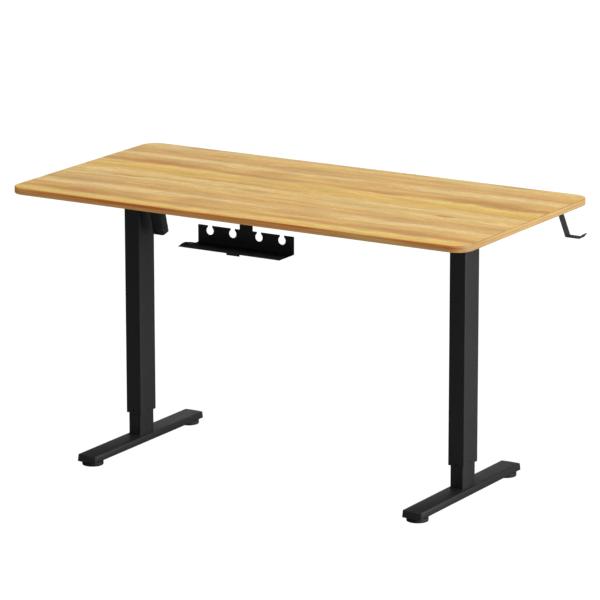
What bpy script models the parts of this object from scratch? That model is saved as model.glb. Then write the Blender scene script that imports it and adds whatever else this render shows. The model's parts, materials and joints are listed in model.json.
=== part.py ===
"""Height adjustable standing desk: one motor, two two-stage legs, a cable tray and a hook.

Metres, +Z up, standing on z = 0. X runs along the desk's length and +Y points to the user.
The frame's origin is under the middle of the overall box, hook included.
"""

import math

import bpy
import bmesh
from mathutils import Euler, Vector

# Running gap between touching pieces, how far a cut runs past a face, and how round moulded edges are.
GAP = 0.0003
CUT_PAST = 0.01
SKIN = 0.0005
EDGE_SOFTENING = 0.0015

# Tabletop
TOP_LENGTH = 1.400
TOP_DEPTH = 0.700
TOP_THICKNESS = 0.018
TOP_CORNER = 0.046
TOP_EASE = 0.002
HEIGHT = 0.774
UNDERSIDE = HEIGHT - TOP_THICKNESS

# Feet and levelling pads
LEG_SPACING = 1.019
PAD_DIAMETER = 0.0585
PAD_HEIGHT = 0.012
PAD_SPACING = 0.484
STUD_RADIUS = 0.004
STUD_LENGTH = 0.0155
FOOT_WIDTH = 0.057
FOOT_HEIGHT = 0.0195
FOOT_LENGTH = 0.553
FOOT_END_SLOPE = 0.004
FOOT_END_BOW = 0.002
FOOT_WALL = 0.002
FOOT_BOSS = 0.0075

# Telescopic columns
OUTER_WIDTH = 0.0482
OUTER_DEPTH = 0.0765
INNER_WIDTH = 0.039
INNER_DEPTH = 0.067
TUBE_WALL = 0.0015
OUTER_CORNER = 0.003
INNER_CORNER = 0.003
REVEAL = 0.064
LIFT_DOWN = 0.054
LOWER_GLIDE_LENGTH = 0.060
UPPER_GLIDE_LENGTH = 0.050
GLIDE_SCREW_RADIUS = 0.0027
GLIDE_SCREW_LENGTH = 0.0030
GLIDE_SCREW_RISE = 0.006

# Side brackets and crossbeams under the top
BRACKET_LENGTH = 0.540
BRACKET_WIDTH = 0.062
BRACKET_SHEET = 0.002
BRACKET_DEEP = 0.040
BRACKET_END = 0.014
BRACKET_DEEP_HALF = 0.120
CROSSBEAM_WIDTH = 0.020
CROSSBEAM_HEIGHT = 0.035
CROSSBEAM_SPACING = 0.120
CROSSBEAM_DROP = 0.0025

# Wood screws into the top
SCREW_SHANK = 0.0019
SCREW_HEAD = 0.0045
SCREW_HEAD_HEIGHT = 0.0024
SCREW_GRIP = 0.011
SCREW_CLEARANCE = 0.0004
BRACKET_SCREW_SPACING = 0.470

# Drive at each column's head
SHAFT_DROP = 0.030
SHAFT_FLATS = 0.008
SHAFT_BORE = 0.0052
SHAFT_SLOT = 0.0076
HEAD_HEIGHT = 0.060
HEAD_CAVITY_X = 0.0376
HEAD_CAVITY_Y = 0.030
HEAD_FLOOR_DROP = 0.0209
GEAR_PITCH = 0.011
GEAR_TEETH = 12
GEAR_ADDENDUM = 0.0010
GEAR_DEDENDUM = 0.0013
GEAR_SMALL_END = 0.66
GEAR_HUB = 0.0075
GEAR_HUB_END = 0.0175
SCREW_RADIUS = 0.006
JOURNAL_RADIUS = 0.005
GEAR_SEAT_RADIUS = 0.004
COLLAR_RADIUS = 0.0105
COLLAR_HEIGHT = 0.006
LEAD_SCREW_FOOT = 0.100
NUT_BLOCK = 0.030
NUT_FLANGE = 0.003
NUT_BORE_CLEARANCE = 0.0004
STOP_CLEARANCE = 0.0015

# Motor unit on the left leg
MOTOR_OFFSET = 0.0615
MOTOR_TILT = math.radians(15.5)
WORM_RADIUS = 0.005
WHEEL_RADIUS = 0.0122
WHEEL_WIDTH = 0.012
GEARBOX_WALL = 0.003
GEARBOX_HALF_WIDTH = 0.016
GEARBOX_HALF_HEIGHT = 0.017
GEARBOX_CLEARANCE = 0.0015
MOTOR_WIDTH = 0.036
MOTOR_DEPTH = 0.030
MOTOR_CORNER = 0.006
MOTOR_WALL = 0.0015
MOTOR_END = 0.1205
MOTOR_BOSS_RADIUS = 0.004
MOTOR_BOSS_LENGTH = 0.007
ROTOR_RADIUS = 0.0105
ROTOR_NECK = 0.003

# Cable tray and its hanger
TRAY_LENGTH = 0.296
TRAY_SHEET = 0.0012
TRAY_PLATE_Y = -0.264
TRAY_TOP_DROP = 0.0546
TRAY_PLATE_HEIGHT = 0.048
TRAY_SHELF_DEPTH = 0.074
TRAY_EXTENSION = 0.017
TRAY_EXTENSION_BACK = 0.014
TRAY_TAB_HEIGHT = 0.005
TRAY_STEP = 0.00015
KEYHOLE_RADIUS = 0.0113
KEYHOLE_NECK = 0.013
KEYHOLE_DROP = 0.014
KEYHOLE_PLACES = (-0.111, -0.0405, 0.0405, 0.111)
HANGER_WIDTH = 0.040
HANGER_SHEET = 0.002
HANGER_FLANGE = 0.040
HANGER_REACH = 0.066
HANGER_LIP = 0.006
HANGER_SCREW_SPACING = 0.020

# Headphone hook
HOOK_WIDTH = 0.026
HOOK_SHEET = 0.002
HOOK_NEAR_SIDE = 0.200
HOOK_PLATE = 0.038
HOOK_BEND_INSET = 0.0215
HOOK_SLOPE = math.radians(20.7)
HOOK_DROP = 0.0818
HOOK_REACH = 0.0515
HOOK_LIP = 0.0134
HOOK_LIP_ANGLE = math.radians(53)
HOOK_SCREW_PITCH = 0.018
HOOK_SCREW_INSET = 0.008

# Control box
BOX_LENGTH = 0.230
BOX_DEPTH = 0.100
BOX_HEIGHT = 0.034
BOX_WALL = 0.002
BOX_BASE = 0.003
BOX_CORNER = 0.008
BOX_CENTRE = (-0.185, 0.135)
BOARD_THICKNESS = 0.0016
INLET_WIDTH = 0.028
INLET_HEIGHT = 0.020
INLET_DEPTH = 0.014
INLET_OFFSET = 0.025

# Handset
HANDSET_LENGTH = 0.118
HANDSET_DEPTH = 0.058
HANDSET_HEIGHT = 0.024
HANDSET_WALL = 0.002
HANDSET_CENTRE_X = -0.400
HANDSET_SETBACK = 0.004
DISPLAY_LENGTH = 0.030
DISPLAY_HEIGHT = 0.013
BUTTON_RADIUS = 0.0048
BUTTON_PROUD = 0.0014
BUTTON_PLACES = (0.046, 0.032, -0.028, -0.044)
BUTTON_NAMES = ("up", "down", "preset_one", "preset_two")

# Leads
LEAD_RADIUS = 0.0022
LEAD_GAP = 0.0007
LEAD_STRAIGHT = 0.013
LEAD_STEPS = 20

# Worked out from the sizes above
DESK_X = -HOOK_REACH / 2
LEG_X = LEG_SPACING / 2
FOOT_TOP = PAD_HEIGHT + FOOT_HEIGHT
OUTER_LOW = FOOT_TOP + REVEAL
OUTER_TOP = UNDERSIDE - BRACKET_SHEET - 2 * GAP
HEAD_TOP = OUTER_TOP - 0.001
HEAD_LOW = HEAD_TOP - HEAD_HEIGHT
SHAFT_Z = UNDERSIDE - SHAFT_DROP
COLLAR_LOW = HEAD_LOW - GAP - COLLAR_HEIGHT
NUT_TOP = COLLAR_LOW - LIFT_DOWN - STOP_CLEARANCE
INNER_TOP = NUT_TOP - NUT_FLANGE - GAP
BRACKET_TOP = UNDERSIDE - GAP
CENTRE_DISTANCE = WHEEL_RADIUS + WORM_RADIUS + GAP
SIDES = {"left": -LEG_X, "right": LEG_X}

for old in list(bpy.data.objects):
    bpy.data.objects.remove(old)


# ---------------------------------------------------------------- materials


def material(name, colour, roughness, metallic=0.0):
    made = bpy.data.materials.new(name)
    made.use_nodes = True
    shader = made.node_tree.nodes["Principled BSDF"]
    shader.inputs["Base Color"].default_value = (*colour, 1.0)
    shader.inputs["Roughness"].default_value = roughness
    shader.inputs["Metallic"].default_value = metallic
    return made


OAK = material("oak", (0.60, 0.39, 0.16), 0.5)
BLACK_PAINT = material("black_paint", (0.012, 0.012, 0.013), 0.45, 0.1)
STEEL = material("steel", (0.55, 0.55, 0.56), 0.35, 1.0)
BRONZE = material("bronze", (0.50, 0.33, 0.14), 0.4, 1.0)
BLACK_PLASTIC = material("black_plastic", (0.015, 0.015, 0.016), 0.5)
GREY_PLASTIC = material("grey_plastic", (0.12, 0.12, 0.125), 0.45)
WHITE_PLASTIC = material("white_plastic", (0.75, 0.75, 0.72), 0.5)
RUBBER = material("rubber", (0.02, 0.02, 0.02), 0.8)
CIRCUIT_GREEN = material("circuit_green", (0.02, 0.14, 0.05), 0.5)
SMOKED_GLASS = material("smoked_glass", (0.01, 0.01, 0.012), 0.1)


# ---------------------------------------------------------------- placing


def empty(name, parent, location, tilt=0.0):
    """An empty standing for a moving body's joint axis, at a place given from the desk's centre."""
    made = bpy.data.objects.new(name, None)
    made["place"] = location
    bpy.context.scene.collection.objects.link(made)
    made.parent = parent
    start = Vector(parent["place"]) if parent else Vector((0, 0, 0))
    made.location = Vector(location) - start
    made.rotation_euler = Euler((tilt, 0, 0))
    return made


def add(name, mesh, finish, parent, location=(0, 0, 0), smooth=False):
    """Links a mesh as a piece; location is from the parent's own place."""
    made = bpy.data.objects.new(name, mesh)
    bpy.context.scene.collection.objects.link(made)
    made.parent = parent
    made.location = location
    if finish is not None:
        mesh.materials.clear()
        mesh.materials.append(finish)
    if smooth:
        mesh.shade_smooth()
        mesh.set_sharp_from_angle(angle=math.radians(40))
    return made


def cutter(mesh, parent, location=(0, 0, 0), rotation=(0, 0, 0)):
    """A guide that only shapes another piece, so it stays out of renders."""
    made = bpy.data.objects.new("cutter", mesh)
    bpy.context.scene.collection.objects.link(made)
    made.parent = parent
    made.location = location
    made.rotation_euler = Euler(rotation)
    made.hide_render = True
    made.display_type = "WIRE"
    return made


def shape_with(piece, guide, operation="DIFFERENCE"):
    step = piece.modifiers.new(operation.lower(), "BOOLEAN")
    step.operation = operation
    step.object = guide
    step.solver = "EXACT"


def soften(piece, angle, width=EDGE_SOFTENING):
    """Rounds the edges that turn by more than an angle in degrees."""
    step = piece.modifiers.new("soften", "BEVEL")
    step.width = width
    step.segments = 2
    step.limit_method = "ANGLE"
    step.angle_limit = math.radians(angle)


# ---------------------------------------------------------------- outlines and solids


def arc(centre, radius, start, end, steps):
    """Points on an arc from one angle to the other, both ends included."""
    turns = [start + (end - start) * i / steps for i in range(steps + 1)]
    return [(centre[0] + radius * math.cos(a), centre[1] + radius * math.sin(a)) for a in turns]


def rounded_rectangle(width, depth, radius, steps=4):
    """A rectangle about the origin with round corners, counter-clockwise."""
    x = width / 2 - radius
    y = depth / 2 - radius
    corners = ((x, y), (-x, y), (-x, -y), (x, -y))
    outline = []
    for turn, corner in enumerate(corners):
        start = turn * math.pi / 2
        outline += arc(corner, radius, start, start + math.pi / 2, steps)
    return outline


def mesh_from(vertices, faces):
    mesh = bpy.data.meshes.new("shape")
    mesh.from_pydata([tuple(v) for v in vertices], [], faces)
    work = bmesh.new()
    work.from_mesh(mesh)
    bmesh.ops.recalc_face_normals(work, faces=work.faces)
    work.to_mesh(mesh)
    work.free()
    return mesh


AXES = {
    "X": lambda a, b, c: (c, a, b),
    "Y": lambda a, b, c: (a, c, b),
    "Z": lambda a, b, c: (a, b, c),
}


def prism(outline, low, high, axis="Z"):
    """An outline carried along an axis: along X it lies in YZ, along Y in XZ, along Z in XY."""
    turn = AXES[axis]
    count = len(outline)
    vertices = [turn(a, b, low) for a, b in outline] + [turn(a, b, high) for a, b in outline]
    faces = [(i, (i + 1) % count, count + (i + 1) % count, count + i) for i in range(count)]
    faces += [tuple(range(count)), tuple(range(2 * count - 1, count - 1, -1))]
    return mesh_from(vertices, faces)


def ring_stack(rings, closed):
    """Rings of equal count joined in order; closed joins the last to the first, else both ends are capped."""
    count = len(rings[0])
    vertices = [point for ring in rings for point in ring]
    faces = []
    last = len(rings) if closed else len(rings) - 1
    for level in range(last):
        here = level * count
        there = ((level + 1) % len(rings)) * count
        faces += [
            (here + i, here + (i + 1) % count, there + (i + 1) % count, there + i)
            for i in range(count)
        ]
    if not closed:
        top = (len(rings) - 1) * count
        faces += [tuple(range(count)), tuple(top + i for i in range(count))]
    return mesh_from(vertices, faces)


def tube(outer, inner, low, high, axis="Z"):
    """A hollow prism, open at both ends, between two outlines of equal count."""
    turn = AXES[axis]
    rings = [(outer, low), (outer, high), (inner, high), (inner, low)]
    return ring_stack([[turn(a, b, level) for a, b in ring] for ring, level in rings], True)


def lathe(profile, steps=20):
    """A solid turned about Z from (radius, height) points, capped at both ends."""
    turns = [2 * math.pi * i / steps for i in range(steps)]
    rings = [[(r * math.cos(a), r * math.sin(a), z) for a in turns] for r, z in profile]
    return ring_stack(rings, False)


def rod(radius, low, high, axis="Z", steps=20):
    outline = arc((0, 0), radius, 0, 2 * math.pi * (steps - 1) / steps, steps - 1)
    return prism(outline, low, high, axis)


def block(x, y, z):
    """A box from pairs of low and high values."""
    outline = [(x[0], y[0]), (x[1], y[0]), (x[1], y[1]), (x[0], y[1])]
    return prism(outline, z[0], z[1])


def filleted(points, radius, steps=3):
    """A path with its inner corners rounded."""
    path = [Vector(points[0])]
    for before, corner, after in zip(points, points[1:], points[2:]):
        corner = Vector(corner)
        back = (Vector(before) - corner).normalized()
        ahead = (Vector(after) - corner).normalized()
        half = back.angle(ahead) / 2
        reach = radius / math.tan(half)
        centre = corner + (back + ahead).normalized() * (radius / math.sin(half))
        start = corner + back * reach - centre
        end = corner + ahead * reach - centre
        sweep = start.angle_signed(end)
        for step in range(steps + 1):
            turn = sweep * step / steps
            cos, sin = math.cos(turn), math.sin(turn)
            spoke = Vector((start.x * cos + start.y * sin, start.y * cos - start.x * sin))
            path.append(centre + spoke)
    path.append(Vector(points[-1]))
    return path


def strip(path, thickness):
    """The closed outline of a strip of even thickness that follows a path."""
    left, right = [], []
    for i, point in enumerate(path):
        before = path[max(i - 1, 0)]
        after = path[min(i + 1, len(path) - 1)]
        along_in = (point - before).normalized() if i else (after - point).normalized()
        along_out = (after - point).normalized() if i < len(path) - 1 else along_in
        middle = (along_in + along_out).normalized()
        side = Vector((-middle.y, middle.x)) * (thickness / 2 / middle.dot(along_in))
        left.append(tuple(point + side))
        right.append(tuple(point - side))
    return left + right[::-1]


# ---------------------------------------------------------------- the moving bodies

desk = empty("desk", None, (0, 0, 0))
desk.location = (DESK_X, 0, 0)
frame = empty("lifting_frame", desk, (0, 0, 0))
bases = {}
screws = {}
for side, leg_x in SIDES.items():
    bases[side] = empty(side + "_base", desk, (leg_x, 0, 0))
    screws[side] = empty(side + "_screw_axis", frame, (leg_x, 0, SHAFT_Z))
shaft_axis = empty("shaft_axis", frame, (0, 0, SHAFT_Z))
worm_y = -CENTRE_DISTANCE * math.cos(MOTOR_TILT)
worm_z = SHAFT_Z - CENTRE_DISTANCE * math.sin(MOTOR_TILT)
motor_x = -LEG_X + MOTOR_OFFSET
motor_axis = empty("motor_axis", frame, (motor_x, worm_y, worm_z), MOTOR_TILT)


# ---------------------------------------------------------------- fasteners

SCREW_HOLE = SCREW_SHANK + SCREW_CLEARANCE


def wood_screw(name, place, seat):
    """A pan-head screw whose head bears up against a sheet at height seat."""
    profile = [
        (SCREW_HEAD * 0.6, seat - GAP - SCREW_HEAD_HEIGHT),
        (SCREW_HEAD, seat - GAP - SCREW_HEAD_HEIGHT * 0.55),
        (SCREW_HEAD, seat - GAP),
        (SCREW_SHANK, seat - GAP),
        (SCREW_SHANK, UNDERSIDE + SCREW_GRIP - 0.002),
        (SCREW_SHANK * 0.4, UNDERSIDE + SCREW_GRIP),
    ]
    return add(name, lathe(profile, 12), STEEL, frame, (place[0], place[1], 0), True)


def screw_hole(piece, place):
    hole = rod(SCREW_HOLE, UNDERSIDE - CUT_PAST, UNDERSIDE + SCREW_GRIP + SKIN, steps=12)
    shape_with(piece, cutter(hole, frame, (place[0], place[1], 0)))


# ---------------------------------------------------------------- tabletop


def build_tabletop(screw_places):
    outline = rounded_rectangle(TOP_LENGTH, TOP_DEPTH, TOP_CORNER, 10)
    top = add("tabletop", prism(outline, UNDERSIDE, HEIGHT), OAK, frame)
    soften(top, 60, TOP_EASE)
    for place in screw_places:
        screw_hole(top, place)
    return top


# ---------------------------------------------------------------- feet and pads


def build_foot(side):
    base = bases[side]
    half_top = FOOT_LENGTH / 2 - FOOT_END_SLOPE
    rings = []
    for half, level in ((FOOT_LENGTH / 2, PAD_HEIGHT), (half_top, FOOT_TOP)):
        bow = [(-1.0, 0.0), (-0.5, 0.75), (0.0, 1.0), (0.5, 0.75), (1.0, 0.0)]
        far = [(-x * FOOT_WIDTH / 2, half - FOOT_END_BOW * (1 - b)) for x, b in bow]
        near = [(-x, -y) for x, y in far]
        rings.append([(x, y, level) for x, y in far + near])
    foot = add(side + "_foot_beam", ring_stack(rings, False), BLACK_PAINT, base)
    soften(foot, 50)
    inside = FOOT_WIDTH / 2 - FOOT_WALL
    reach = half_top - FOOT_WALL - 0.003
    hollow = block((-inside, inside), (-reach, reach), (PAD_HEIGHT - CUT_PAST, FOOT_TOP - FOOT_WALL))
    shape_with(foot, cutter(hollow, base))
    for end in (-1, 1):
        place = (0, end * PAD_SPACING / 2, 0)
        boss = rod(FOOT_BOSS, PAD_HEIGHT + SKIN, FOOT_TOP - FOOT_WALL / 2, steps=16)
        shape_with(foot, cutter(boss, base, place), "UNION")
        hole = rod(STUD_RADIUS + GAP, PAD_HEIGHT - CUT_PAST, PAD_HEIGHT + STUD_LENGTH + SKIN, steps=16)
        shape_with(foot, cutter(hole, base, place))
    return foot


def build_pad(side, end_name, end):
    profile = [
        (PAD_DIAMETER / 2 - 0.0012, 0.0),
        (PAD_DIAMETER / 2, 0.0015),
        (PAD_DIAMETER / 2, PAD_HEIGHT - GAP - 0.002),
        (PAD_DIAMETER / 2 - 0.002, PAD_HEIGHT - GAP),
        (STUD_RADIUS, PAD_HEIGHT - GAP),
        (STUD_RADIUS, PAD_HEIGHT + STUD_LENGTH - 0.001),
        (STUD_RADIUS - 0.001, PAD_HEIGHT + STUD_LENGTH),
    ]
    place = (0, end * PAD_SPACING / 2, 0)
    return add(f"{side}_{end_name}_pad", lathe(profile, 28), RUBBER, bases[side], place, True)


# ---------------------------------------------------------------- columns, glides, nuts


def column_outline(width, depth, radius):
    return rounded_rectangle(width, depth, radius, 4)


def hollow_column(width, depth, radius, wall, low, high):
    outer = column_outline(width, depth, radius)
    inner = column_outline(width - 2 * wall, depth - 2 * wall, max(radius - wall, 0.001))
    return tube(outer, inner, low, high)


def glide_screw_places():
    """Where the two glide set screws of a leg sit: (offset on X, offset on Y, axis)."""
    return (("rear", "Y", (0, -OUTER_DEPTH / 2)), ("side", "X", (OUTER_WIDTH / 2, 0)))


def build_columns(side):
    base = bases[side]
    leg_x = SIDES[side]
    inner = hollow_column(
        INNER_WIDTH, INNER_DEPTH, INNER_CORNER, TUBE_WALL, FOOT_TOP + GAP, INNER_TOP
    )
    add(side + "_inner_column", inner, BLACK_PAINT, base, smooth=True)

    outer_mesh = hollow_column(
        OUTER_WIDTH, OUTER_DEPTH, OUTER_CORNER, TUBE_WALL, OUTER_LOW, OUTER_TOP
    )
    outer = add(side + "_outer_column", outer_mesh, BLACK_PAINT, frame, (leg_x, 0, 0), True)
    inward = 1 if leg_x < 0 else -1
    slot = rod(SHAFT_SLOT, 0, inward * OUTER_WIDTH, "X", 16)
    shape_with(outer, cutter(slot, frame, (leg_x, 0, SHAFT_Z)))

    bore_width = OUTER_WIDTH - 2 * TUBE_WALL - 2 * GAP
    bore_depth = OUTER_DEPTH - 2 * TUBE_WALL - 2 * GAP
    wall = (bore_width - INNER_WIDTH) / 2 - GAP
    lower_mesh = tube(
        column_outline(bore_width, bore_depth, OUTER_CORNER - TUBE_WALL),
        column_outline(bore_width - 2 * wall, INNER_DEPTH + 2 * GAP, INNER_CORNER + GAP),
        OUTER_LOW + GAP,
        OUTER_LOW + LOWER_GLIDE_LENGTH,
    )
    lower = add(side + "_lower_glide", lower_mesh, WHITE_PLASTIC, frame, (leg_x, 0, 0))
    upper_mesh = tube(
        column_outline(bore_width, bore_depth, OUTER_CORNER - TUBE_WALL),
        column_outline(INNER_WIDTH + 2 * GAP, INNER_DEPTH + 2 * GAP, INNER_CORNER + GAP),
        INNER_TOP - UPPER_GLIDE_LENGTH,
        INNER_TOP,
    )
    add(side + "_upper_glide", upper_mesh, WHITE_PLASTIC, base)

    for name, axis, offset in glide_screw_places():
        outwards = -1 if axis == "Y" else 1
        place = (leg_x + offset[0], offset[1], OUTER_LOW + GLIDE_SCREW_RISE)
        deep, past = -outwards * (GLIDE_SCREW_LENGTH + GAP), outwards * CUT_PAST
        hole = rod(GLIDE_SCREW_RADIUS + GAP, deep, past, axis, 12)
        hole_guide = cutter(hole, frame, place)
        shape_with(outer, hole_guide)
        shape_with(lower, hole_guide)
        body = rod(GLIDE_SCREW_RADIUS, -outwards * GLIDE_SCREW_LENGTH, outwards * 0.0002, axis, 12)
        add(f"{side}_{name}_glide_screw", body, STEEL, frame, place)


def build_nut(side):
    base = bases[side]
    flange = prism(
        column_outline(INNER_WIDTH, INNER_DEPTH, INNER_CORNER), INNER_TOP + GAP, NUT_TOP
    )
    nut = add(side + "_drive_nut", flange, BRONZE, base)
    hollow_width = INNER_WIDTH - 2 * TUBE_WALL - 2 * GAP
    hollow_depth = INNER_DEPTH - 2 * TUBE_WALL - 2 * GAP
    body = prism(
        column_outline(hollow_width, hollow_depth, INNER_CORNER - TUBE_WALL),
        INNER_TOP - NUT_BLOCK,
        INNER_TOP + NUT_FLANGE / 2,
    )
    shape_with(nut, cutter(body, base), "UNION")
    low, high = INNER_TOP - NUT_BLOCK - CUT_PAST, NUT_TOP + CUT_PAST
    bore = rod(SCREW_RADIUS + NUT_BORE_CLEARANCE, low, high, steps=24)
    shape_with(nut, cutter(bore, base))


# ---------------------------------------------------------------- bevel gears


def tooth_outline(radius):
    """A gear's outline at its large end: trapezoid teeth, four points each."""
    pitch = 2 * math.pi / GEAR_TEETH
    tip, root = radius + GEAR_ADDENDUM, radius - GEAR_DEDENDUM
    outline = []
    for tooth in range(GEAR_TEETH):
        centre = tooth * pitch
        for share, r in ((-0.30, root), (-0.13, tip), (0.13, tip), (0.30, root)):
            turn = centre + share * pitch
            outline.append((r, turn))
    return outline


def hexagon_radius(flats, turn):
    """Distance from the centre to a hexagon's edge in a given direction."""
    sixth = math.pi / 3
    return flats / 2 / math.cos(turn % sixth - sixth / 2)


def bevel_gear(bore, phase):
    """A 45 degree bevel gear about +Z with its cone's apex at the origin, opening towards +Z."""
    outline = tooth_outline(GEAR_PITCH)
    turns = [turn for _, turn in outline]

    def ring(radius_at, height):
        points = []
        for turn in turns:
            r = radius_at(turn)
            points.append((r * math.cos(turn + phase), r * math.sin(turn + phase), height))
        return points

    large = dict((turn, r) for r, turn in outline)
    small = GEAR_SMALL_END
    rings = [
        ring(bore, GEAR_PITCH * small),
        ring(lambda turn: large[turn] * small, GEAR_PITCH * small),
        ring(lambda turn: large[turn], GEAR_PITCH),
        ring(lambda turn: GEAR_HUB, GEAR_PITCH),
        ring(lambda turn: GEAR_HUB, GEAR_HUB_END),
        ring(bore, GEAR_HUB_END),
    ]
    return ring_stack(rings, True)


# ---------------------------------------------------------------- drive


def build_head(side):
    """The bevel gearbox's housing, which fills the column's top and carries the screw's thrust."""
    leg_x = SIDES[side]
    width = OUTER_WIDTH - 2 * TUBE_WALL - 2 * GAP
    depth = OUTER_DEPTH - 2 * TUBE_WALL - 2 * GAP
    outline = column_outline(width, depth, OUTER_CORNER - TUBE_WALL)
    head = add(
        side + "_gear_housing", prism(outline, HEAD_LOW, HEAD_TOP), GREY_PLASTIC, frame, (leg_x, 0, 0)
    )
    half_x, half_y = HEAD_CAVITY_X / 2, HEAD_CAVITY_Y / 2
    floor = SHAFT_Z - HEAD_FLOOR_DROP
    cavity = block((-half_x, half_x), (-half_y, half_y), (floor, HEAD_TOP + CUT_PAST))
    shape_with(head, cutter(cavity, frame, (leg_x, 0, 0)))
    journal = rod(JOURNAL_RADIUS + NUT_BORE_CLEARANCE, HEAD_LOW - CUT_PAST, floor + 0.005, steps=20)
    shape_with(head, cutter(journal, frame, (leg_x, 0, 0)))
    shaft_bore = rod(SHAFT_BORE, -OUTER_WIDTH, OUTER_WIDTH, "X", 16)
    shape_with(head, cutter(shaft_bore, frame, (leg_x, 0, SHAFT_Z)))


def build_screw(side):
    """The lead screw, with its thrust collar and the journal that carries its bevel gear."""
    axis = screws[side]
    collar_low = COLLAR_LOW - SHAFT_Z
    collar_high = HEAD_LOW - GAP - SHAFT_Z
    gear_seat = -GEAR_HUB_END - GAP
    tip = -GEAR_PITCH * GEAR_SMALL_END - 0.0005
    profile = [
        (SCREW_RADIUS - 0.001, LEAD_SCREW_FOOT - SHAFT_Z),
        (SCREW_RADIUS, LEAD_SCREW_FOOT + 0.001 - SHAFT_Z),
        (SCREW_RADIUS, collar_low),
        (COLLAR_RADIUS, collar_low),
        (COLLAR_RADIUS, collar_high),
        (JOURNAL_RADIUS, collar_high),
        (JOURNAL_RADIUS, gear_seat),
        (GEAR_SEAT_RADIUS, gear_seat),
        (GEAR_SEAT_RADIUS, tip),
    ]
    add(side + "_lead_screw", lathe(profile, 24), STEEL, axis, smooth=True)
    gear = add(side + "_screw_gear", bevel_gear(lambda turn: GEAR_SEAT_RADIUS + GAP, 0.0), STEEL, axis)
    gear.rotation_euler = Euler((math.pi, 0, 0))


def build_shaft():
    """The hexagonal drive shaft that turns both bevel pinions, and the motor's worm wheel on it."""
    end = LEG_X + HEAD_CAVITY_X / 2 + 0.0025
    outline = [
        (hexagon_radius(SHAFT_FLATS, 0) * math.cos(i * math.pi / 3),
         hexagon_radius(SHAFT_FLATS, 0) * math.sin(i * math.pi / 3))
        for i in range(6)
    ]
    add("drive_shaft", prism(outline, -end, end, "X"), STEEL, shaft_axis)
    half_pitch = math.pi / GEAR_TEETH
    bore_flats = SHAFT_FLATS + 3 * GAP
    bore_turn = half_pitch + math.pi / 6
    for side, leg_x in SIDES.items():
        mesh = bevel_gear(lambda turn: hexagon_radius(bore_flats, turn + bore_turn), half_pitch)
        pinion = add(side + "_shaft_pinion", mesh, STEEL, shaft_axis, (leg_x, 0, 0))
        pinion.rotation_euler = Euler((0, math.pi / 2, 0))
    steps = 24
    turns = [2 * math.pi * i / steps for i in range(steps)]
    rim = [(WHEEL_RADIUS * math.cos(a), WHEEL_RADIUS * math.sin(a)) for a in turns]
    bore = [
        (hexagon_radius(SHAFT_FLATS + 2 * GAP, a) * math.cos(a),
         hexagon_radius(SHAFT_FLATS + 2 * GAP, a) * math.sin(a))
        for a in turns
    ]
    wheel = tube(rim, bore, -WHEEL_WIDTH / 2, WHEEL_WIDTH / 2, "X")
    add("worm_wheel", wheel, BRONZE, shaft_axis, (motor_x, 0, 0), True)


# ---------------------------------------------------------------- motor unit


def build_motor():
    """The worm gearbox on the shaft and the motor that hangs from it at a slant."""
    near = -MOTOR_DEPTH / 2
    far = CENTRE_DISTANCE + WHEEL_RADIUS + GEARBOX_CLEARANCE + GEARBOX_WALL
    flange_face = -LEG_X + BRACKET_WIDTH / 2 + GAP - motor_x
    tall = GEARBOX_HALF_HEIGHT
    gearbox = add(
        "motor_gearbox",
        block((flange_face, GEARBOX_HALF_WIDTH), (near, far), (-tall, tall)),
        BLACK_PAINT,
        motor_axis,
    )
    wall = GEARBOX_WALL
    wide, deep = GEARBOX_HALF_WIDTH - wall, (near + wall, far - wall)
    hollow = block((flange_face - CUT_PAST, wide), deep, (-tall + wall, tall - wall))
    shape_with(gearbox, cutter(hollow, motor_axis))
    shaft_bore = rod(SHAFT_BORE, 0, 0.05, "X", 16)
    shape_with(gearbox, cutter(shaft_bore, frame, (motor_x, 0, SHAFT_Z)))
    neck = rod(ROTOR_NECK + 2 * GAP, -tall - CUT_PAST, 0, steps=16)
    shape_with(gearbox, cutter(neck, motor_axis))

    start = -tall - GAP
    outline = rounded_rectangle(MOTOR_WIDTH, MOTOR_DEPTH, MOTOR_CORNER, 5)
    housing = add("motor_housing", prism(outline, -MOTOR_END, start), BLACK_PLASTIC, motor_axis, smooth=True)
    soften(housing, 50)
    boss = lathe(
        [
            (MOTOR_BOSS_RADIUS - 0.001, -MOTOR_END - MOTOR_BOSS_LENGTH),
            (MOTOR_BOSS_RADIUS, -MOTOR_END - MOTOR_BOSS_LENGTH + 0.001),
            (MOTOR_BOSS_RADIUS, -MOTOR_END + MOTOR_WALL / 2),
        ],
        16,
    )
    shape_with(housing, cutter(boss, motor_axis), "UNION")
    inside = rounded_rectangle(
        MOTOR_WIDTH - 2 * MOTOR_WALL, MOTOR_DEPTH - 2 * MOTOR_WALL, MOTOR_CORNER - MOTOR_WALL, 5
    )
    shape_with(housing, cutter(prism(inside, -MOTOR_END + 0.0025, start + CUT_PAST), motor_axis))

    armature_top = start - MOTOR_BOSS_LENGTH
    armature_low = -MOTOR_END + 0.0175
    profile = [
        (ROTOR_NECK, -MOTOR_END + 0.005),
        (ROTOR_NECK, armature_low),
        (ROTOR_RADIUS, armature_low),
        (ROTOR_RADIUS, armature_top),
        (ROTOR_NECK, armature_top),
        (ROTOR_NECK, -0.0115),
        (WORM_RADIUS, -0.011),
        (WORM_RADIUS, 0.011),
        (ROTOR_NECK, 0.0115),
    ]
    add("motor_rotor", lathe(profile, 20), STEEL, motor_axis, smooth=True)


# ---------------------------------------------------------------- under-top frame


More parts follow.
